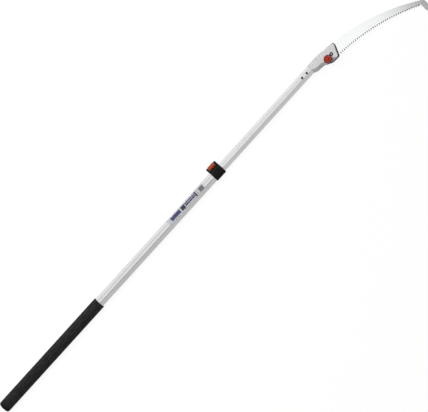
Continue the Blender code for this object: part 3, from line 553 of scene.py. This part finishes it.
def printed(name, dark, light, roughness):
    """A flat printed colour that dried a little uneven."""
    material, tree, place = begin(name)
    tiny = add(tree, "Mapping", {"Scale": per_metre(0.8, 0.8, 0.8)}, {"Vector": place})
    spots = add(tree, "TexNoise", {"Scale": 1, "Detail": 3}, {"Vector": tiny})
    broad = add(tree, "Mapping", {"Scale": per_metre(25, 6, 6)}, {"Vector": place})
    blush = add(tree, "TexNoise", {"Scale": 1, "Detail": 2}, {"Vector": broad})
    mixed = add(tree, "Mix", {"data_type": "FLOAT", "Factor": 0.5}, {"A": spots, "B": blush})
    tint = add(tree, "ValToRGB", {"stops": [(0.3, dark), (0.7, light)]}, {"Fac": mixed})
    settings = {**NOISE_ENDS, "To Min": roughness - DRIED, "To Max": roughness + DRIED}
    gloss = add(tree, "MapRange", settings, {"Value": spots})
    grainy = add(tree, "Bump", {"Distance": mm(0.004)}, {"Height": spots})
    links = {"Base Color": tint, "Roughness": gloss, "Normal": grainy}
    shader = add(tree, "BsdfPrincipled", {"Specular IOR Level": 0.35}, links)
    add(tree, "OutputMaterial", {}, {"Surface": shader})
    return material


FILM = printed("satin film, faintly lilac grey", "#c0c1ca", "#cccdd5", 0.4)
INKS = [
    printed("screen printed blue ink", "#3a4068", "#484e76", 0.45),
    printed("screen printed black ink", "#2e2e38", "#3e3e48", 0.45),
    printed("screen printed grey ink", "#6a6b6c", "#787979", 0.45),
    printed("screen printed navy ink", "#1e2348", "#2a3058", 0.45),
]
print(FILM.name, "and", len(INKS), "inks")

# %% [markdown]
# ## Building pieces
# Every piece is a mesh whose vertices are already in place, so its object stays at the origin.
# This helper turns a bmesh into such a piece, shades it smooth up to an edge angle, sets its
# finish, ties it to the moving body that carries it and hides the CAD solids it stands for. Its
# large faces keep their own direction where they run into a rounded edge, which weighted normals
# see to.

# %% Finish a piece
made = []


def piece(name, work, finish, body, stands_for=(), edge_angle=34):
    """Makes an object from a bmesh and ties it to the body that carries it."""
    mesh = meshed(name, work)
    for look in finish if isinstance(finish, list) else [finish]:
        mesh.materials.append(look)
    mesh.shade_smooth()
    mesh.set_sharp_from_angle(angle=math.radians(edge_angle))
    shown = placed(name, mesh)
    shown.modifiers.new("even faces", "WEIGHTED_NORMAL").keep_sharp = True
    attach(shown, body)
    if stands_for:
        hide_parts(*stands_for)
    made.append(shown)
    print(name, "has", len(mesh.polygons), "faces")
    return shown


# %% [markdown]
# ## Starting from a solid
# Where a CAD solid already has the right shape, a piece starts from a copy of it. The copy comes
# as loose triangles, so its doubles are merged and its flat faces are made whole again. Real
# edges are never sharp, so a bevel softens those that turn outwards by more than an angle.


# %% Copy and soften
MERGE = mm(0.002)
FLAT = math.radians(0.5)


def copied(solid):
    """A clean copy of a CAD solid, its triangles joined and its flat faces made whole."""
    work = bmesh.new()
    work.from_mesh(solids[solid].data)
    bmesh.ops.remove_doubles(work, verts=work.verts, dist=MERGE)
    bmesh.ops.dissolve_limit(work, angle_limit=FLAT, verts=work.verts, edges=work.edges)
    return work


def softened(work, width_mm, segments=3, least=60):
    """Rounds the outward edges of a bmesh that turn by more than an angle in degrees."""
    sharp = [
        edge
        for edge in work.edges
        if len(edge.link_faces) == 2 and edge.calc_face_angle_signed() > math.radians(least)
    ]
    bmesh.ops.bevel(
        work,
        geom=sharp,
        offset=mm(width_mm),
        segments=segments,
        profile=0.5,
        affect="EDGES",
        clamp_overlap=True,
        material=-1,
    )
    return work


print("a mirrored lamp needs rounded edges to glint on")


# %% [markdown]
# ## Joining and cutting
# Moulded pieces are simple shapes joined together and hollowed by others. A Boolean modifier
# does both. Each helper shape is only needed while the piece is made, and is thrown away after.


# %% Join and cut
def combined(work, others, operation):
    """Joins closed shapes to a closed shape, or cuts them out of it."""
    blanks = [placed("blank", meshed("blank", shape)) for shape in (work, *others)]
    for other in blanks[1:]:
        step = blanks[0].modifiers.new(operation, "BOOLEAN")
        step.operation = operation
        step.object = other
        step.solver = "EXACT"
    bpy.context.view_layer.update()
    result = bmesh.new()
    result.from_object(blanks[0], bpy.context.evaluated_depsgraph_get())
    for blank in blanks:
        bpy.data.meshes.remove(blank.data)
    bmesh.ops.remove_doubles(result, verts=result.verts, dist=MERGE)
    return result


print("join and cut ready")


# %% [markdown]
# ## Moving and turning
# Shapes are easiest to make around the origin. Two helpers carry them to their place afterwards.


# %% Move and turn
def moved(work, x, y, z=0):
    """Moves a whole bmesh by millimetres."""
    bmesh.ops.translate(work, vec=(mm(x), mm(y), mm(z)), verts=work.verts)


def rolled(work, angle, axis):
    """Turns a whole bmesh about an axis through the origin."""
    bmesh.ops.rotate(work, matrix=Matrix.Rotation(angle, 3, axis), verts=work.verts)


QUARTER_TURN = math.pi / 2
print("move and turn ready")


# %% [markdown]
# ## Blocks, rods and turned shapes
# Three more shapes come up again and again: a block, a rod, and a shape turned about an upright
# axis. The turned one starts as a line of points beside the axis, in millimetres of radius and
# height, and a spin carries the line all the way round.


# %% Block, rod and spin
def block(low, high):
    """A box between two corners in millimetres."""
    work = bmesh.new()
    bmesh.ops.create_cube(work, size=1)
    low, high = mm(Vector(low)), mm(Vector(high))
    bmesh.ops.scale(work, vec=high - low, verts=work.verts)
    bmesh.ops.translate(work, vec=(low + high) / 2, verts=work.verts)
    return work


def rod(centre, low, high, radius, sides=48):
    """An upright rod, sizes in millimetres."""
    work = bmesh.new()
    bmesh.ops.create_cone(
        work,
        cap_ends=True,
        segments=sides,
        radius1=mm(radius),
        radius2=mm(radius),
        depth=mm(high - low),
    )
    middle = mm(Vector((centre[0], centre[1], (low + high) / 2)))
    bmesh.ops.translate(work, vec=middle, verts=work.verts)
    return work


def turned(profile, centre, steps=64, ring=False):
    """A shape turned about an upright axis. A ring's line is closed and stays off the axis."""
    work = bmesh.new()
    line = [work.verts.new((mm(radius), 0, mm(height))) for radius, height in profile]
    pairs = list(zip(line, line[1:])) + ([(line[-1], line[0])] if ring else [])
    edges = [work.edges.new(pair) for pair in pairs]
    bmesh.ops.spin(
        work,
        geom=line + edges,
        cent=(0, 0, 0),
        axis=(0, 0, 1),
        angle=math.tau,
        steps=steps,
        use_merge=True,
    )
    bmesh.ops.remove_doubles(work, verts=work.verts, dist=MERGE)
    bmesh.ops.recalc_face_normals(work, faces=work.faces)
    moved(work, *centre)
    return work


print("block, rod and spin ready")


# %% [markdown]
# ## The pole's section
# The pole is an oval with eight sides and soft corners. An octagon face stands across the pole,
# and a bevel of its corners rounds them. The corners beside the flats turn by 37 degrees and
# those beside the narrow sides by 53, so one radius needs two offsets. A section is five
# lengths: half its width, half its height, half of a flat, half of a narrow side, and the radius
# of a corner. It grows or shrinks by moving all its eight sides out or in alike.

# %% Section
OUTER = (17.5, 13.5, 5.5, 4.5, 4.0)
GAP = 0.3
CORNER_STEPS = 8
TOUCH = mm(0.001)


def octagon(section, x):
    """A face across the pole with eight rounded corners, sizes in millimetres."""
    half_width, half_height, half_flat, half_side, corner = section
    work = bmesh.new()
    quarter = [(half_width, half_side), (half_flat, half_height)]
    ring = quarter + [(-y, z) for y, z in quarter[::-1]]
    ring += [(-y, -z) for y, z in ring]
    corners = [work.verts.new((mm(x), mm(y), mm(z))) for y, z in ring]
    work.faces.new(corners)
    slant = math.atan2(half_height - half_side, half_width - half_flat)
    for turn, reach in ((slant, half_height), (QUARTER_TURN - slant, half_side)):
        beside = [vert for vert in corners if abs(abs(vert.co.z) - mm(reach)) < TOUCH]
        bmesh.ops.bevel(
            work,
            geom=beside,
            offset=mm(corner) * math.tan(turn / 2),
            segments=CORNER_STEPS,
            profile=0.5,
            affect="VERTICES",
            material=-1,
        )
        corners = [vert for vert in corners if vert.is_valid]
    return work


def grown(section, distance):
    """The section with each of its sides moved out by a distance, or in by a negative one."""
    half_width, half_height, half_flat, half_side, corner = section
    slant = math.atan2(half_height - half_side, half_width - half_flat)
    across, up = math.sin(slant), math.cos(slant)
    reach = across * half_flat + up * half_height + distance
    half_width += distance
    half_height += distance
    half_flat = (reach - up * half_height) / across
    half_side = (reach - across * half_width) / up
    return half_width, half_height, half_flat, half_side, corner + distance


INNER = grown(OUTER, -2.0)
print("the thin tube is", INNER[0] * 2, "by", INNER[1] * 2, "mm")


# %% [markdown]
# ## Bars and tubes
# An extrusion draws the section out along the pole. With its end faces left on it is a bar.
# Without them it is a skin, and Solidify gives that its wall.


# %% Draw out a section
def drawn_out(work, length, hollow=False):
    """Draws the only face of a bmesh out along the pole into a bar or an open skin."""
    drawn = bmesh.ops.extrude_face_region(work, geom=work.faces[:])
    far = [item for item in drawn["geom"] if isinstance(item, bmesh.types.BMVert)]
    bmesh.ops.translate(work, vec=(mm(length), 0, 0), verts=far)
    if hollow:
        end_faces = [face for face in work.faces if abs(face.normal.x) > 0.9]
        bmesh.ops.delete(work, geom=end_faces, context="FACES_ONLY")
    bmesh.ops.recalc_face_normals(work, faces=work.faces)
    return work


def walled(work, wall_mm):
    """Gives an open skin its wall: inwards, or outwards for a negative one."""
    bmesh.ops.solidify(work, geom=work.faces[:], thickness=mm(wall_mm))
    bmesh.ops.recalc_face_normals(work, faces=work.faces)
    return work


def bar(section, start, end):
    """A solid bar of a section between two places along the pole."""
    return drawn_out(octagon(section, start), end - start)


def pipe(section, start, end, wall_mm, rim_mm):
    """A tube of a section with softened rims."""
    tube = walled(drawn_out(octagon(section, start), end - start, hollow=True), wall_mm)
    return softened(tube, rim_mm)


def ends(solid):
    """Where a CAD solid starts and ends along the pole, in millimetres."""
    low, high = (in_mm(corner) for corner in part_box(solid))
    return low.x, high.x


print("the thick tube runs from", *(round(x, 1) for x in ends("outer_tube")), "mm")

# %% [markdown]
# ## The two tubes
# Both tubes are the same extrusion in two sizes, and the thin one slides in the thick one. Under
# the collar the thick one has a window for the brake pad and two screw holes, and two screws
# pass through the thin one just below the head. The cut ends are deburred by a third of a
# millimetre. Whatever cuts right through the tool is made a good deal longer than that needs.

# %% Draw the tubes
TUBE_WALL = 1.5
TUBE_RIM = 0.33
THROUGH = 33
COLLAR_MIDDLE = 1041.5
COLLAR_SCREW = 1048.2
SCREW_HOLE = 1.8
HEAD_SCREWS = (1453.8, 1475.8)
HEAD_SCREW_HOLE = 2.3
WINDOW_LENGTH = 12
WINDOW_HALF = 3.5
WINDOW_TOP = 28


def pad_window():
    """The opening for the brake pad, on the spine side of the tube and the collar."""
    low = (COLLAR_MIDDLE - WINDOW_LENGTH / 2, INNER[0], -WINDOW_HALF)
    return block(low, (COLLAR_MIDDLE + WINDOW_LENGTH / 2, WINDOW_TOP, WINDOW_HALF))


work = pipe(OUTER, *ends("outer_tube"), TUBE_WALL, TUBE_RIM)
screw_hole = rod((COLLAR_SCREW, 0), -THROUGH, THROUGH, SCREW_HOLE)
work = combined(work, [pad_window(), screw_hole], "DIFFERENCE")
piece("lower_tube", work, GREYER_ANODISED, "lower_pole", ["outer_tube"])
work = pipe(INNER, *ends("inner_tube"), TUBE_WALL, TUBE_RIM)
screw_holes = [rod((x, 0), -THROUGH, THROUGH, HEAD_SCREW_HOLE) for x in HEAD_SCREWS]
work = combined(work, screw_holes, "DIFFERENCE")
piece("upper_tube", work, ANODISED, "upper_pole", ["inner_tube"])

# %% [markdown]
# ## What is on the label
# There are five plain blocks and, between the second and the third, two rows of short bars.
# Each has its ink, its ends along the pole and its sides across it.

# %% Blocks and bars
LABEL_ENDS = (808, 979)
LABEL_SIDES = (-5.6, 13.4)
# The film takes the first place in the list of finishes, and the inks follow it
BLUE, BLACK, GREY, NAVY = range(1, 5)
BLOCKS = [
    (BLUE, 824, 867, -2.2, 11.2),
    (BLACK, 872, 889, -3.6, 11.6),
    (BLACK, 937, 943, -5.5, 12.6),
    (GREY, 947, 949, -3.0, 9.0),
    (GREY, 957, 975.5, -5.0, 10.4),
]
BARS = 7
BAR_START = 891
BAR_PITCH = 6.5
BAR_LENGTH = 5.7
BAR_ROWS = ((-1.2, 4.4), (5.6, 10.8))
for number in range(BARS):
    start = BAR_START + BAR_PITCH * number
    for low_side, high_side in BAR_ROWS:
        BLOCKS.append((NAVY, start, start + BAR_LENGTH, low_side, high_side))
print("patches of ink:", len(BLOCKS))


# %% [markdown]
# ## The label
# The label wraps over the flat and down the spine slope of the lower tube. A copy of the tube's
# skin, a hair larger, is cut down to that patch with bisecting planes. More planes cut round the
# blocks and bars, whose faces then take an ink. The patch gets the thickness of a film at the end.


# %% Wrap the label
def parted(work, place, normal, keep_one_side):
    """Cuts a bmesh along a plane, and drops what lies on the side of the normal if told to."""
    bmesh.ops.bisect_plane(
        work,
        geom=work.verts[:] + work.edges[:] + work.faces[:],
        plane_co=place,
        plane_no=normal,
        clear_outer=keep_one_side,
    )


FILM_LIFT = 0.03
FILM_THICKNESS = 0.08
start, end = LABEL_ENDS
work = drawn_out(octagon(grown(OUTER, FILM_LIFT), start), end - start, hollow=True)
parted(work, (0, 0, 0), (0, 0, -1), True)
parted(work, (0, mm(LABEL_SIDES[0]), 0), (0, -1, 0), True)
parted(work, (0, mm(LABEL_SIDES[1]), 0), (0, 1, 0), True)
for ink, start, end, low_side, high_side in BLOCKS:
    for x in (start, end):
        parted(work, (mm(x), 0, 0), (1, 0, 0), False)
    for y in (low_side, high_side):
        parted(work, (0, mm(y), 0), (0, 1, 0), False)
for face in work.faces:
    x, y, z = in_mm(face.calc_center_median())
    for ink, start, end, low_side, high_side in BLOCKS:
        if start < x < end and low_side < y < high_side:
            face.material_index = ink
bmesh.ops.recalc_face_normals(work, faces=work.faces)
work = walled(work, -FILM_THICKNESS)
piece("pole_label", work, [FILM, *INKS], "lower_pole")

# %% [markdown]
# ## The grip
# The sleeve is one thick skin of rubber over the tube with rolled lips at its ends. The cap
# closes the butt with a well rounded rim and has a plug that reaches into the tube. A glide plug
# closes the thin tube's lower end, out of sight. Both have their shape as solids already.

# %% Sleeve, cap and glide plug
SLEEVE_WALL = 2.35
LIP = 0.9
GRIP = grown(OUTER, GAP + SLEEVE_WALL)
work = pipe(GRIP, *ends("grip_sleeve"), SLEEVE_WALL, LIP)
piece("grip_skin", work, RUBBER, "lower_pole", ["grip_sleeve"])
work = softened(copied("butt_cap"), width_mm=0.35)
piece("butt_end", work, NYLON, "lower_pole", ["butt_cap"])
work = softened(copied("foot_plug"), width_mm=0.5)
piece("glide_plug", work, NYLON, "upper_pole", ["foot_plug"])

# %% [markdown]
# ## The clamp collar
# The collar is a thick sleeve with generously rounded ends and two ears that hold the lever. The
# sleeve, both ears with their feet and the web between them are shaped apart, so that each has
# its own rounded edges, and then joined. Each ends at a slightly different place, because a
# Boolean is at its best where no two faces lie in one plane.

# %% Collar body
COLLAR = (19.0, 16.5, 7.0, 6.0, 4.0)
COLLAR_ENDS = (1020.6, 1062.4)
PIN_OUT = 28.5
EAR_LENGTH = 7.6
EAR_FROM, EAR_TO = 12, PIN_OUT + 4.7
EAR_HALF = 8.5
EAR_INSET = 0.05
FOOT_INSET = 0.4
FOOT_LOW, FOOT_HIGH = -14, -2
WEB_INSET = 3.8
WEB_LOW, WEB_HIGH = -13.9, -9.9
ROOT = 8.75
start, end = COLLAR_ENDS
work = softened(bar(COLLAR, start, end), width_mm=2.2, segments=5)
added = []
for x in (start + EAR_INSET, end - EAR_LENGTH - EAR_INSET):
    far = x + EAR_LENGTH
    ear = block((x, EAR_FROM, -EAR_HALF), (far, EAR_TO, EAR_HALF))
    low = (x + FOOT_INSET, ROOT, FOOT_LOW)
    foot = block(low, (far - FOOT_INSET, PIN_OUT - 3.5, FOOT_HIGH))
    added += [softened(ear, width_mm=2.4, segments=5), softened(foot, width_mm=1.0)]
web = block((start + WEB_INSET, ROOT, WEB_LOW), (end - WEB_INSET, PIN_OUT - 3.6, WEB_HIGH))
added.append(softened(web, width_mm=0.8))
collar_body = combined(work, added, "UNION")
print("collar body has", len(collar_body.faces), "faces")

# %% [markdown]
# ## The collar's holes
# The seat of the thick tube, the mouth for the thin one, the window of the brake pad and the
# holes of the screws and the pin are cut last, all in one go. The seat stops a little short of
# the collar's end, which leaves a lip round the mouth.

# %% Collar
SCREW_SINK = 3.05
SINK_FROM = 14.4
SEAT_LIP = 1.6
MOUTH_PLAY = 0.9
PIN_HOLE = 2.3
pin_hole = rod((0, 0), -THROUGH, THROUGH, PIN_HOLE)
rolled(pin_hole, QUARTER_TURN, "Y")
moved(pin_hole, COLLAR_MIDDLE, PIN_OUT)
cuts = [
    bar(grown(OUTER, GAP), start - 2, end - SEAT_LIP),
    bar(grown(INNER, MOUTH_PLAY), start - 4, end + 4),
    pad_window(),
    rod((COLLAR_SCREW, 0), -THROUGH, THROUGH, SCREW_HOLE),
    rod((COLLAR_SCREW, 0), SINK_FROM, THROUGH, SCREW_SINK),
    rod((COLLAR_SCREW, 0), -THROUGH, -SINK_FROM, SCREW_SINK),
    pin_hole,
]
work = combined(collar_body, cuts, "DIFFERENCE")
piece("collar", work, NYLON, "lower_pole", ["clamp_collar"])

# %% [markdown]
# ## The slide bush
# A short bush with the thick tube's own section sits in the collar, in front of that tube, and
# guides the thin one. It is drawn out like the tubes.

# %% Slide bush
BUSH_WALL = 1.7
BUSH_RIM = 0.3
work = pipe(OUTER, *ends("tube_bush"), BUSH_WALL, BUSH_RIM)
piece("slide_bush", work, NYLON, "lower_pole", ["tube_bush"])


# %% [markdown]
# ## Screws of the collar
# The heads of both collar screws sit in sunk holes and have a cross recess. The recess is two
# crossing wedges, narrower at the bottom, cut out of the head. The lower screw is the upper one
# turned over.


# %% Cross recess and collar screws
TAPER = (0.45, 0.7, 1)  # the share of its length and width that a wedge keeps at its foot


def cross_recess(centre, top, span, width, depth):
    """Two crossing wedges that cut a screwdriver's recess into the head of an upright screw."""
    wedges = []
    for turn in (0, QUARTER_TURN):
        wedge = block((-span / 2, -width / 2, top - depth), (span / 2, width / 2, top + 1))
        foot = [vert for vert in wedge.verts if vert.co.z < mm(top)]
        bmesh.ops.scale(wedge, vec=TAPER, verts=foot)
        rolled(wedge, turn, "Z")
        moved(wedge, *centre)
        wedges.append(wedge)
    return wedges


SCREW_TOP = 16.2
SCREW_LINE = (
    (0, SCREW_TOP),
    (2.45, SCREW_TOP),
    (2.75, 15.9),
    (2.75, 14.7),
    (1.5, 14.7),
    (1.5, 12.3),
    (1.2, 12.0),
    (0, 12.0),
)
for side, flip in (("top", 0), ("bottom", math.pi)):
    work = turned(SCREW_LINE, (0, 0), steps=40)
    recess = cross_recess((0, 0), SCREW_TOP, span=3.2, width=0.8, depth=1.0)
    work = combined(work, recess, "DIFFERENCE")
    rolled(work, flip, "X")
    moved(work, COLLAR_SCREW, 0)
    node = "collar_screw_" + side
    piece(node.replace("screw", "fixing"), work, BLACKED, "lower_pole", [node])

# %% [markdown]
# ## The lever
# The lever is one moulding: a barrel that is thicker on one side of its pin, so that it presses
# the brake pad when it is closed, and an arm with a turned out end. Its shape is there as a
# solid. Three ribs keep a wet thumb from slipping. They are rods with round ends, joined to the
# arm where its outer face leans out.

# %% Lever with its thumb ribs
RIB_HEIGHTS = (-9.6, -11.4, -13.2)
RIB_LENGTH = 17
RIB_LINE = (
    (0, 0.5),
    (0.35, 0.35),
    (0.5, 0),
    (0.5, -RIB_LENGTH),
    (0.35, -RIB_LENGTH - 0.35),
    (0, -RIB_LENGTH - 0.5),
)
# The arm's outer face starts to lean at this height and place, by so much out for so much down
LEAN_FROM = -8.8
LEAN_PLACE = 35.15
LEAN_OUT, LEAN_DOWN = 2.2, 6.2
work = softened(copied("lock_lever"), width_mm=0.6)
ribs = []
for height in RIB_HEIGHTS:
    out = LEAN_PLACE + (LEAN_FROM - height) * LEAN_OUT / LEAN_DOWN
    rib = turned(RIB_LINE, (0, 0), steps=16)
    moved(rib, 0, 0, RIB_LENGTH / 2)
    rolled(rib, QUARTER_TURN, "Y")
    moved(rib, COLLAR_MIDDLE, out, height)
    ribs.append(rib)
work = combined(work, ribs, "UNION")
piece("cam_lever", work, LEVER_RED, "lever", ["lock_lever"])

# %% [markdown]
# ## Pin and brake pad
# The lever turns on a plain steel pin with eased ends, which is spun upright and laid along the
# pole. The pad between the cam and the thin tube is a small block of nylon.

# %% Pin and pad
PIN_RADIUS = 2
PIN_EASE = 0.4
start, end = ends("lever_pin")
half = (end - start) / 2
upper = [(0, half), (PIN_RADIUS - PIN_EASE, half), (PIN_RADIUS, half - PIN_EASE)]
work = turned(upper + [(radius, -height) for radius, height in upper[::-1]], (0, 0), 40)
rolled(work, QUARTER_TURN, "Y")
moved(work, COLLAR_MIDDLE, PIN_OUT)
piece("hinge_pin", work, ZINC, "lower_pole", ["lever_pin"])
work = softened(copied("brake_shoe"), width_mm=0.4)
piece("brake_pad", work, NYLON, "shoe", ["brake_shoe"])

# %% [markdown]
# ## The head
# Two painted half shells grip the tube's end and hold the blade between them. The shells have
# the right shape as solids already. Level cuts give the painted shade a clean edge on both of
# them: nearer the blade than that, what faces the teeth gets the darker paint as painted shade,
# and so does a narrower strip on the spine side. The small faces round the pivot get the darkest
# paint as painted shade in their recess.

# %% Shells
PIVOT = (1575.1, -17.6)
RECESS_REACH = 7.0
RECESS_FACE = mm(12) ** 2
# A face is level where its normal stands at least this straight
LEVEL = 0.98
# How far the painted shade reaches from the blade's plane, on the tooth side and on the spine side
PAINTED_SHADE_REACH = {-1: 10.6, 1: 5.0}
PAINT, SHADED_SIDE, SHADE_IN_RECESS = range(3)
for node, name in (("head_cover", "head_upper_shell"), ("head_base", "head_lower_shell")):
    work = copied(node)
    for height in PAINTED_SHADE_REACH.values():
        for level in (-height, height):
            parted(work, (0, 0, mm(level)), (0, 0, 1), False)
    for face in work.faces:
        x, y, z = in_mm(face.calc_center_median())
        limit = PAINTED_SHADE_REACH[1 if face.normal.y > 0 else -1]
        # Small faces round the pivot get the darkest paint as painted shade in the recess.
        recess = math.dist((x, y), PIVOT) < RECESS_REACH and face.calc_area() < RECESS_FACE
        # Steep faces near the blade get the darker paint as painted shade.
        skin = abs(z) < limit and abs(face.normal.z) < LEVEL
        face.material_index = SHADE_IN_RECESS if recess else SHADED_SIDE if skin else PAINT
    piece(name, work, [PAINTED, PAINTED_SHADE_SIDES, RECESS_SHADE_PAINT], "upper_pole", [node])

# %% [markdown]
# ## Friction plates
# A thin dark plate lies on each side of the blade. Its black rim shows as a line along the head's
# outline and stands in partly for the shade under the head's edge. Both are nylon, and their rims
# get a slight round.

# %% Friction plates
for side in ("top", "bottom"):
    work = softened(copied("liner_" + side), width_mm=0.2, segments=2)
    name = "friction_plate_" + side
    piece(name, work, NYLON, "upper_pole", ["liner_" + side])

# %% [markdown]
# ## Screws of the head
# Two dark screws with round heads pass through the shells and the tube. They are made like
# those of the collar.

# %% Head screws
HEAD_CROWN = 14.0
HEAD_TOP = 11.8
SHANK_END = -14.8
HEAD_LINE = (
    (0, HEAD_CROWN),
    (1.5, 13.95),
    (2.5, 13.7),
    (3.25, 13.2),
    (3.65, 12.55),
    (3.75, 12.0),
    (3.7, HEAD_TOP),
    (2.0, HEAD_TOP),
    (2.0, SHANK_END + 0.4),
    (1.6, SHANK_END),
    (0, SHANK_END),
)
for end, x in zip(("rear", "front"), HEAD_SCREWS):
    recess = cross_recess((x, 0), HEAD_CROWN, span=4.0, width=1.0, depth=1.5)
    work = combined(turned(HEAD_LINE, (x, 0), steps=48), recess, "DIFFERENCE")
    name = "neck_screw_" + end
    piece(name, work, BLACKED, "upper_pole", ["head_screw_" + end])


# %% [markdown]
# ## Nuts
# Plain nuts hold the head's screws underneath. A nut is a hexagon bar with its corners eased and
# a hole through it. It is known by its width across the flats, which a formula turns into the
# radius of its corners.


# %% Nuts
NUT_EASE = 0.45


def hexagon_radius(flats):
    """The radius of the corners of a hexagon, from its width across the flats."""
    return flats / math.sqrt(3)


def nut(centre, low, high, flats, hole):
    """A hexagon nut with eased corners, sizes in millimetres."""
    solid = softened(rod(centre, low, high, hexagon_radius(flats), sides=6), NUT_EASE)
    return combined(solid, [rod(centre, low - 1, high + 1, hole)], "DIFFERENCE")


for end, x in zip(("rear", "front"), HEAD_SCREWS):
    work = nut((x, 0), SHANK_END, -HEAD_TOP, flats=7, hole=HEAD_SCREW_HOLE)
    piece("neck_nut_" + end, work, ZINC, "upper_pole", ["head_nut_" + end])

# %% [markdown]
# ## The pivot
# The blade turns on the pivot bolt, whose dark nut lies in a round recess with the bright end of
# the bolt in its middle. The nut has a flange, which is a turned ring. The heads of this bolt
# and of the clamp bolt beside it are let into the underside, and one function makes both.

# %% Pivot
BOLT_LOW = -11.2
BOLT_SHOULDER = -8.2


def bolt(centre, tip, radius, ease, head, head_ease, socket, depth, steps=64):
    """A bolt with a low head and a hexagon socket below, from its heights, radii and flats."""
    line = (
        (0, tip),
        (radius - ease, tip),
        (radius, tip - ease),
        (radius, BOLT_SHOULDER),
        (head, BOLT_SHOULDER),
        (head, BOLT_LOW + head_ease),
        (head - head_ease, BOLT_LOW),
        (0, BOLT_LOW),
    )
    hollow = rod(centre, BOLT_LOW - 1, BOLT_LOW + depth, hexagon_radius(socket), sides=6)
    return combined(turned(line, centre, steps), [hollow], "DIFFERENCE")


shaft = {"tip": 12.0, "radius": 2.5, "ease": 0.6}
work = bolt(PIVOT, **shaft, head=4.5, head_ease=0.4, socket=4, depth=1.8, steps=48)
piece("pivot_stud", work, ZINC, "upper_pole", ["pivot_bolt"])
# The dark flange widens the dark ring round the bolt's end and stands in partly for the recess's
# shade.
FLANGE_LINE = ((2.8, 7.2), (4.9, 7.2), (5.0, 7.35), (4.9, 8.1), (4.6, 8.8), (2.8, 8.8))
hexagon = nut(PIVOT, 8.0, 11.2, flats=8, hole=2.8)
work = combined(turned(FLANGE_LINE, PIVOT, ring=True), [hexagon], "UNION")
piece("pivot_locknut", work, BLACKED, "upper_pole", ["pivot_nut"])

# %% [markdown]
# ## Clamp bolt and washer
# The clamp bolt stands beside the pivot and carries the knob. It passes through a slot in the
# blade, which lets the blade swing when the knob is slack. A flat washer keeps the knob off the
# paint.

# %% Clamp bolt and washer
shaft = {"tip": 20.1, "radius": 3.0, "ease": 0.5}
work = bolt(CLAMP, **shaft, head=6.5, head_ease=0.5, socket=5, depth=2)
piece("clamp_stud", work, ZINC, "upper_pole", ["clamp_bolt"])
WASHER_LINE = ((3.3, 12.3), (7.85, 12.3), (8.0, 12.45), (8.0, 13.15), (7.85, 13.3), (3.3, 13.3))
work = turned(WASHER_LINE, CLAMP, ring=True)
piece("clamp_washer", work, ZINC, "upper_pole", ["knob_washer"])

# %% [markdown]
# ## The knob
# The knob is turned in section: a rounded rim, a dished top and a raised boss in its middle,
# with a bore below for the brass insert. After the spin its rim is pressed in fourteen times
# round for the fingers, most at the rim's widest place and not at all inside the dish. The
# photograph shows the knob a little fuller than its solid, so its rim stands 0.6 mm further out.

# %% Knob
KNOB_LINE = (
    (0, 24.3),
    (3.7, 24.3),
    (4.6, 24.05),
    (5.0, 23.4),
    (5.1, 21.7),
    (5.5, 21.3),
    (9.2, 21.3),
    (9.9, 21.6),
    (10.4, 22.6),
    (10.8, 23.0),
    (11.3, 23.0),
    (11.8, 22.6),
    (13.5, 20.2),
    (13.9, 19.4),
    (KNOB_RADIUS, 18.4),
    (KNOB_RADIUS, 15.2),
    (13.8, 14.2),
    (13.1, 13.6),
    (5.3, 13.6),
    (5.3, 20.4),
    (0, 20.4),
)
FLUTES = 14
FLUTE_STEPS = 10
FLUTE_DEPTH = 0.7
FLUTE_FROM = 11.0
work = turned(KNOB_LINE, (0, 0), steps=FLUTES * FLUTE_STEPS)
for vert in work.verts:
    radius = math.hypot(vert.co.x, vert.co.y)
    share = min(max((in_mm(radius) - FLUTE_FROM) / (KNOB_RADIUS - FLUTE_FROM), 0), 1)
    dip = mm(FLUTE_DEPTH) * share * (1 - math.cos(FLUTES * math.atan2(vert.co.y, vert.co.x))) / 2
    if share:
        vert.co.xy *= (radius - dip) / radius
moved(work, *CLAMP)
piece("grip_knob", work, KNOB_RED, "knob", ["clamp_knob"])

# %% [markdown]
# ## The knob's insert
# The thread of the clamp bolt runs in a brass insert pressed into the knob's bore. It is a turned
# ring with eased outer edges.

# %% Insert
INSERT_LINE = ((3.3, 13.6), (4.7, 13.6), (5.0, 13.9), (5.0, 19.8), (4.7, 20.1), (3.3, 20.1))
work = turned(INSERT_LINE, CLAMP, ring=True)
piece("threaded_insert", work, BRASS, "knob", ["knob_insert"])


# %% [markdown]
# ## The blade
# The blade is a hardened plate with its teeth ground in from alternate sides. From above, every
# second tooth shows its dark ground facet, and the ones between show theirs from below. A copy
# of the solid already has the outline. Each tooth's tip is pulled back on one of its two faces,
# which leans its flanks as a grinding wheel does, and the leaning faces take the dark finish:
# partly heat tint and partly painted shade.


# %% Grind the teeth
GRIND = 6.8
LEVEL_EDGE = mm(0.1)
POINTED = math.radians(75)


def on_rim(face):
    """Whether a face of the blade stands between its two flat sides."""
    return abs(face.normal.z) < 0.5


def tooth_tips(work):
    """The points of the teeth, each with the way into the blade, from the heel to the hook."""
    tips = []
    for vert in work.verts:
        ways = []
        for edge in vert.link_edges:
            run = edge.other_vert(vert).co - vert.co
            if abs(run.z) < LEVEL_EDGE and any(on_rim(face) for face in edge.link_faces):
                ways.append(run.normalized())
        if len(ways) == 2 and ways[0].angle(ways[1]) < POINTED:
            inward = (ways[0] + ways[1]).normalized()
            if inward.y > 0:
                tips.append((vert, inward))
    return sorted(tips, key=lambda tip: tip[0].co.x)


work = copied("saw_blade")
tips = tooth_tips(work)
for side in (0, 1):
    row = [tip for tip in tips if (tip[0].co.z > 0) == (side == 0)]
    for vert, inward in row[side::2]:
        flanks = [face for face in vert.link_faces if on_rim(face)]
        for face in bmesh.ops.triangulate(work, faces=flanks)["faces"]:
            face.material_index = 1
        vert.co += inward * mm(GRIND)
    print("teeth on this face:", len(row))
piece("blade", work, [CHROMED, TOOTH], "blade", ["saw_blade"], edge_angle=15)

print("pieces:", len(made))
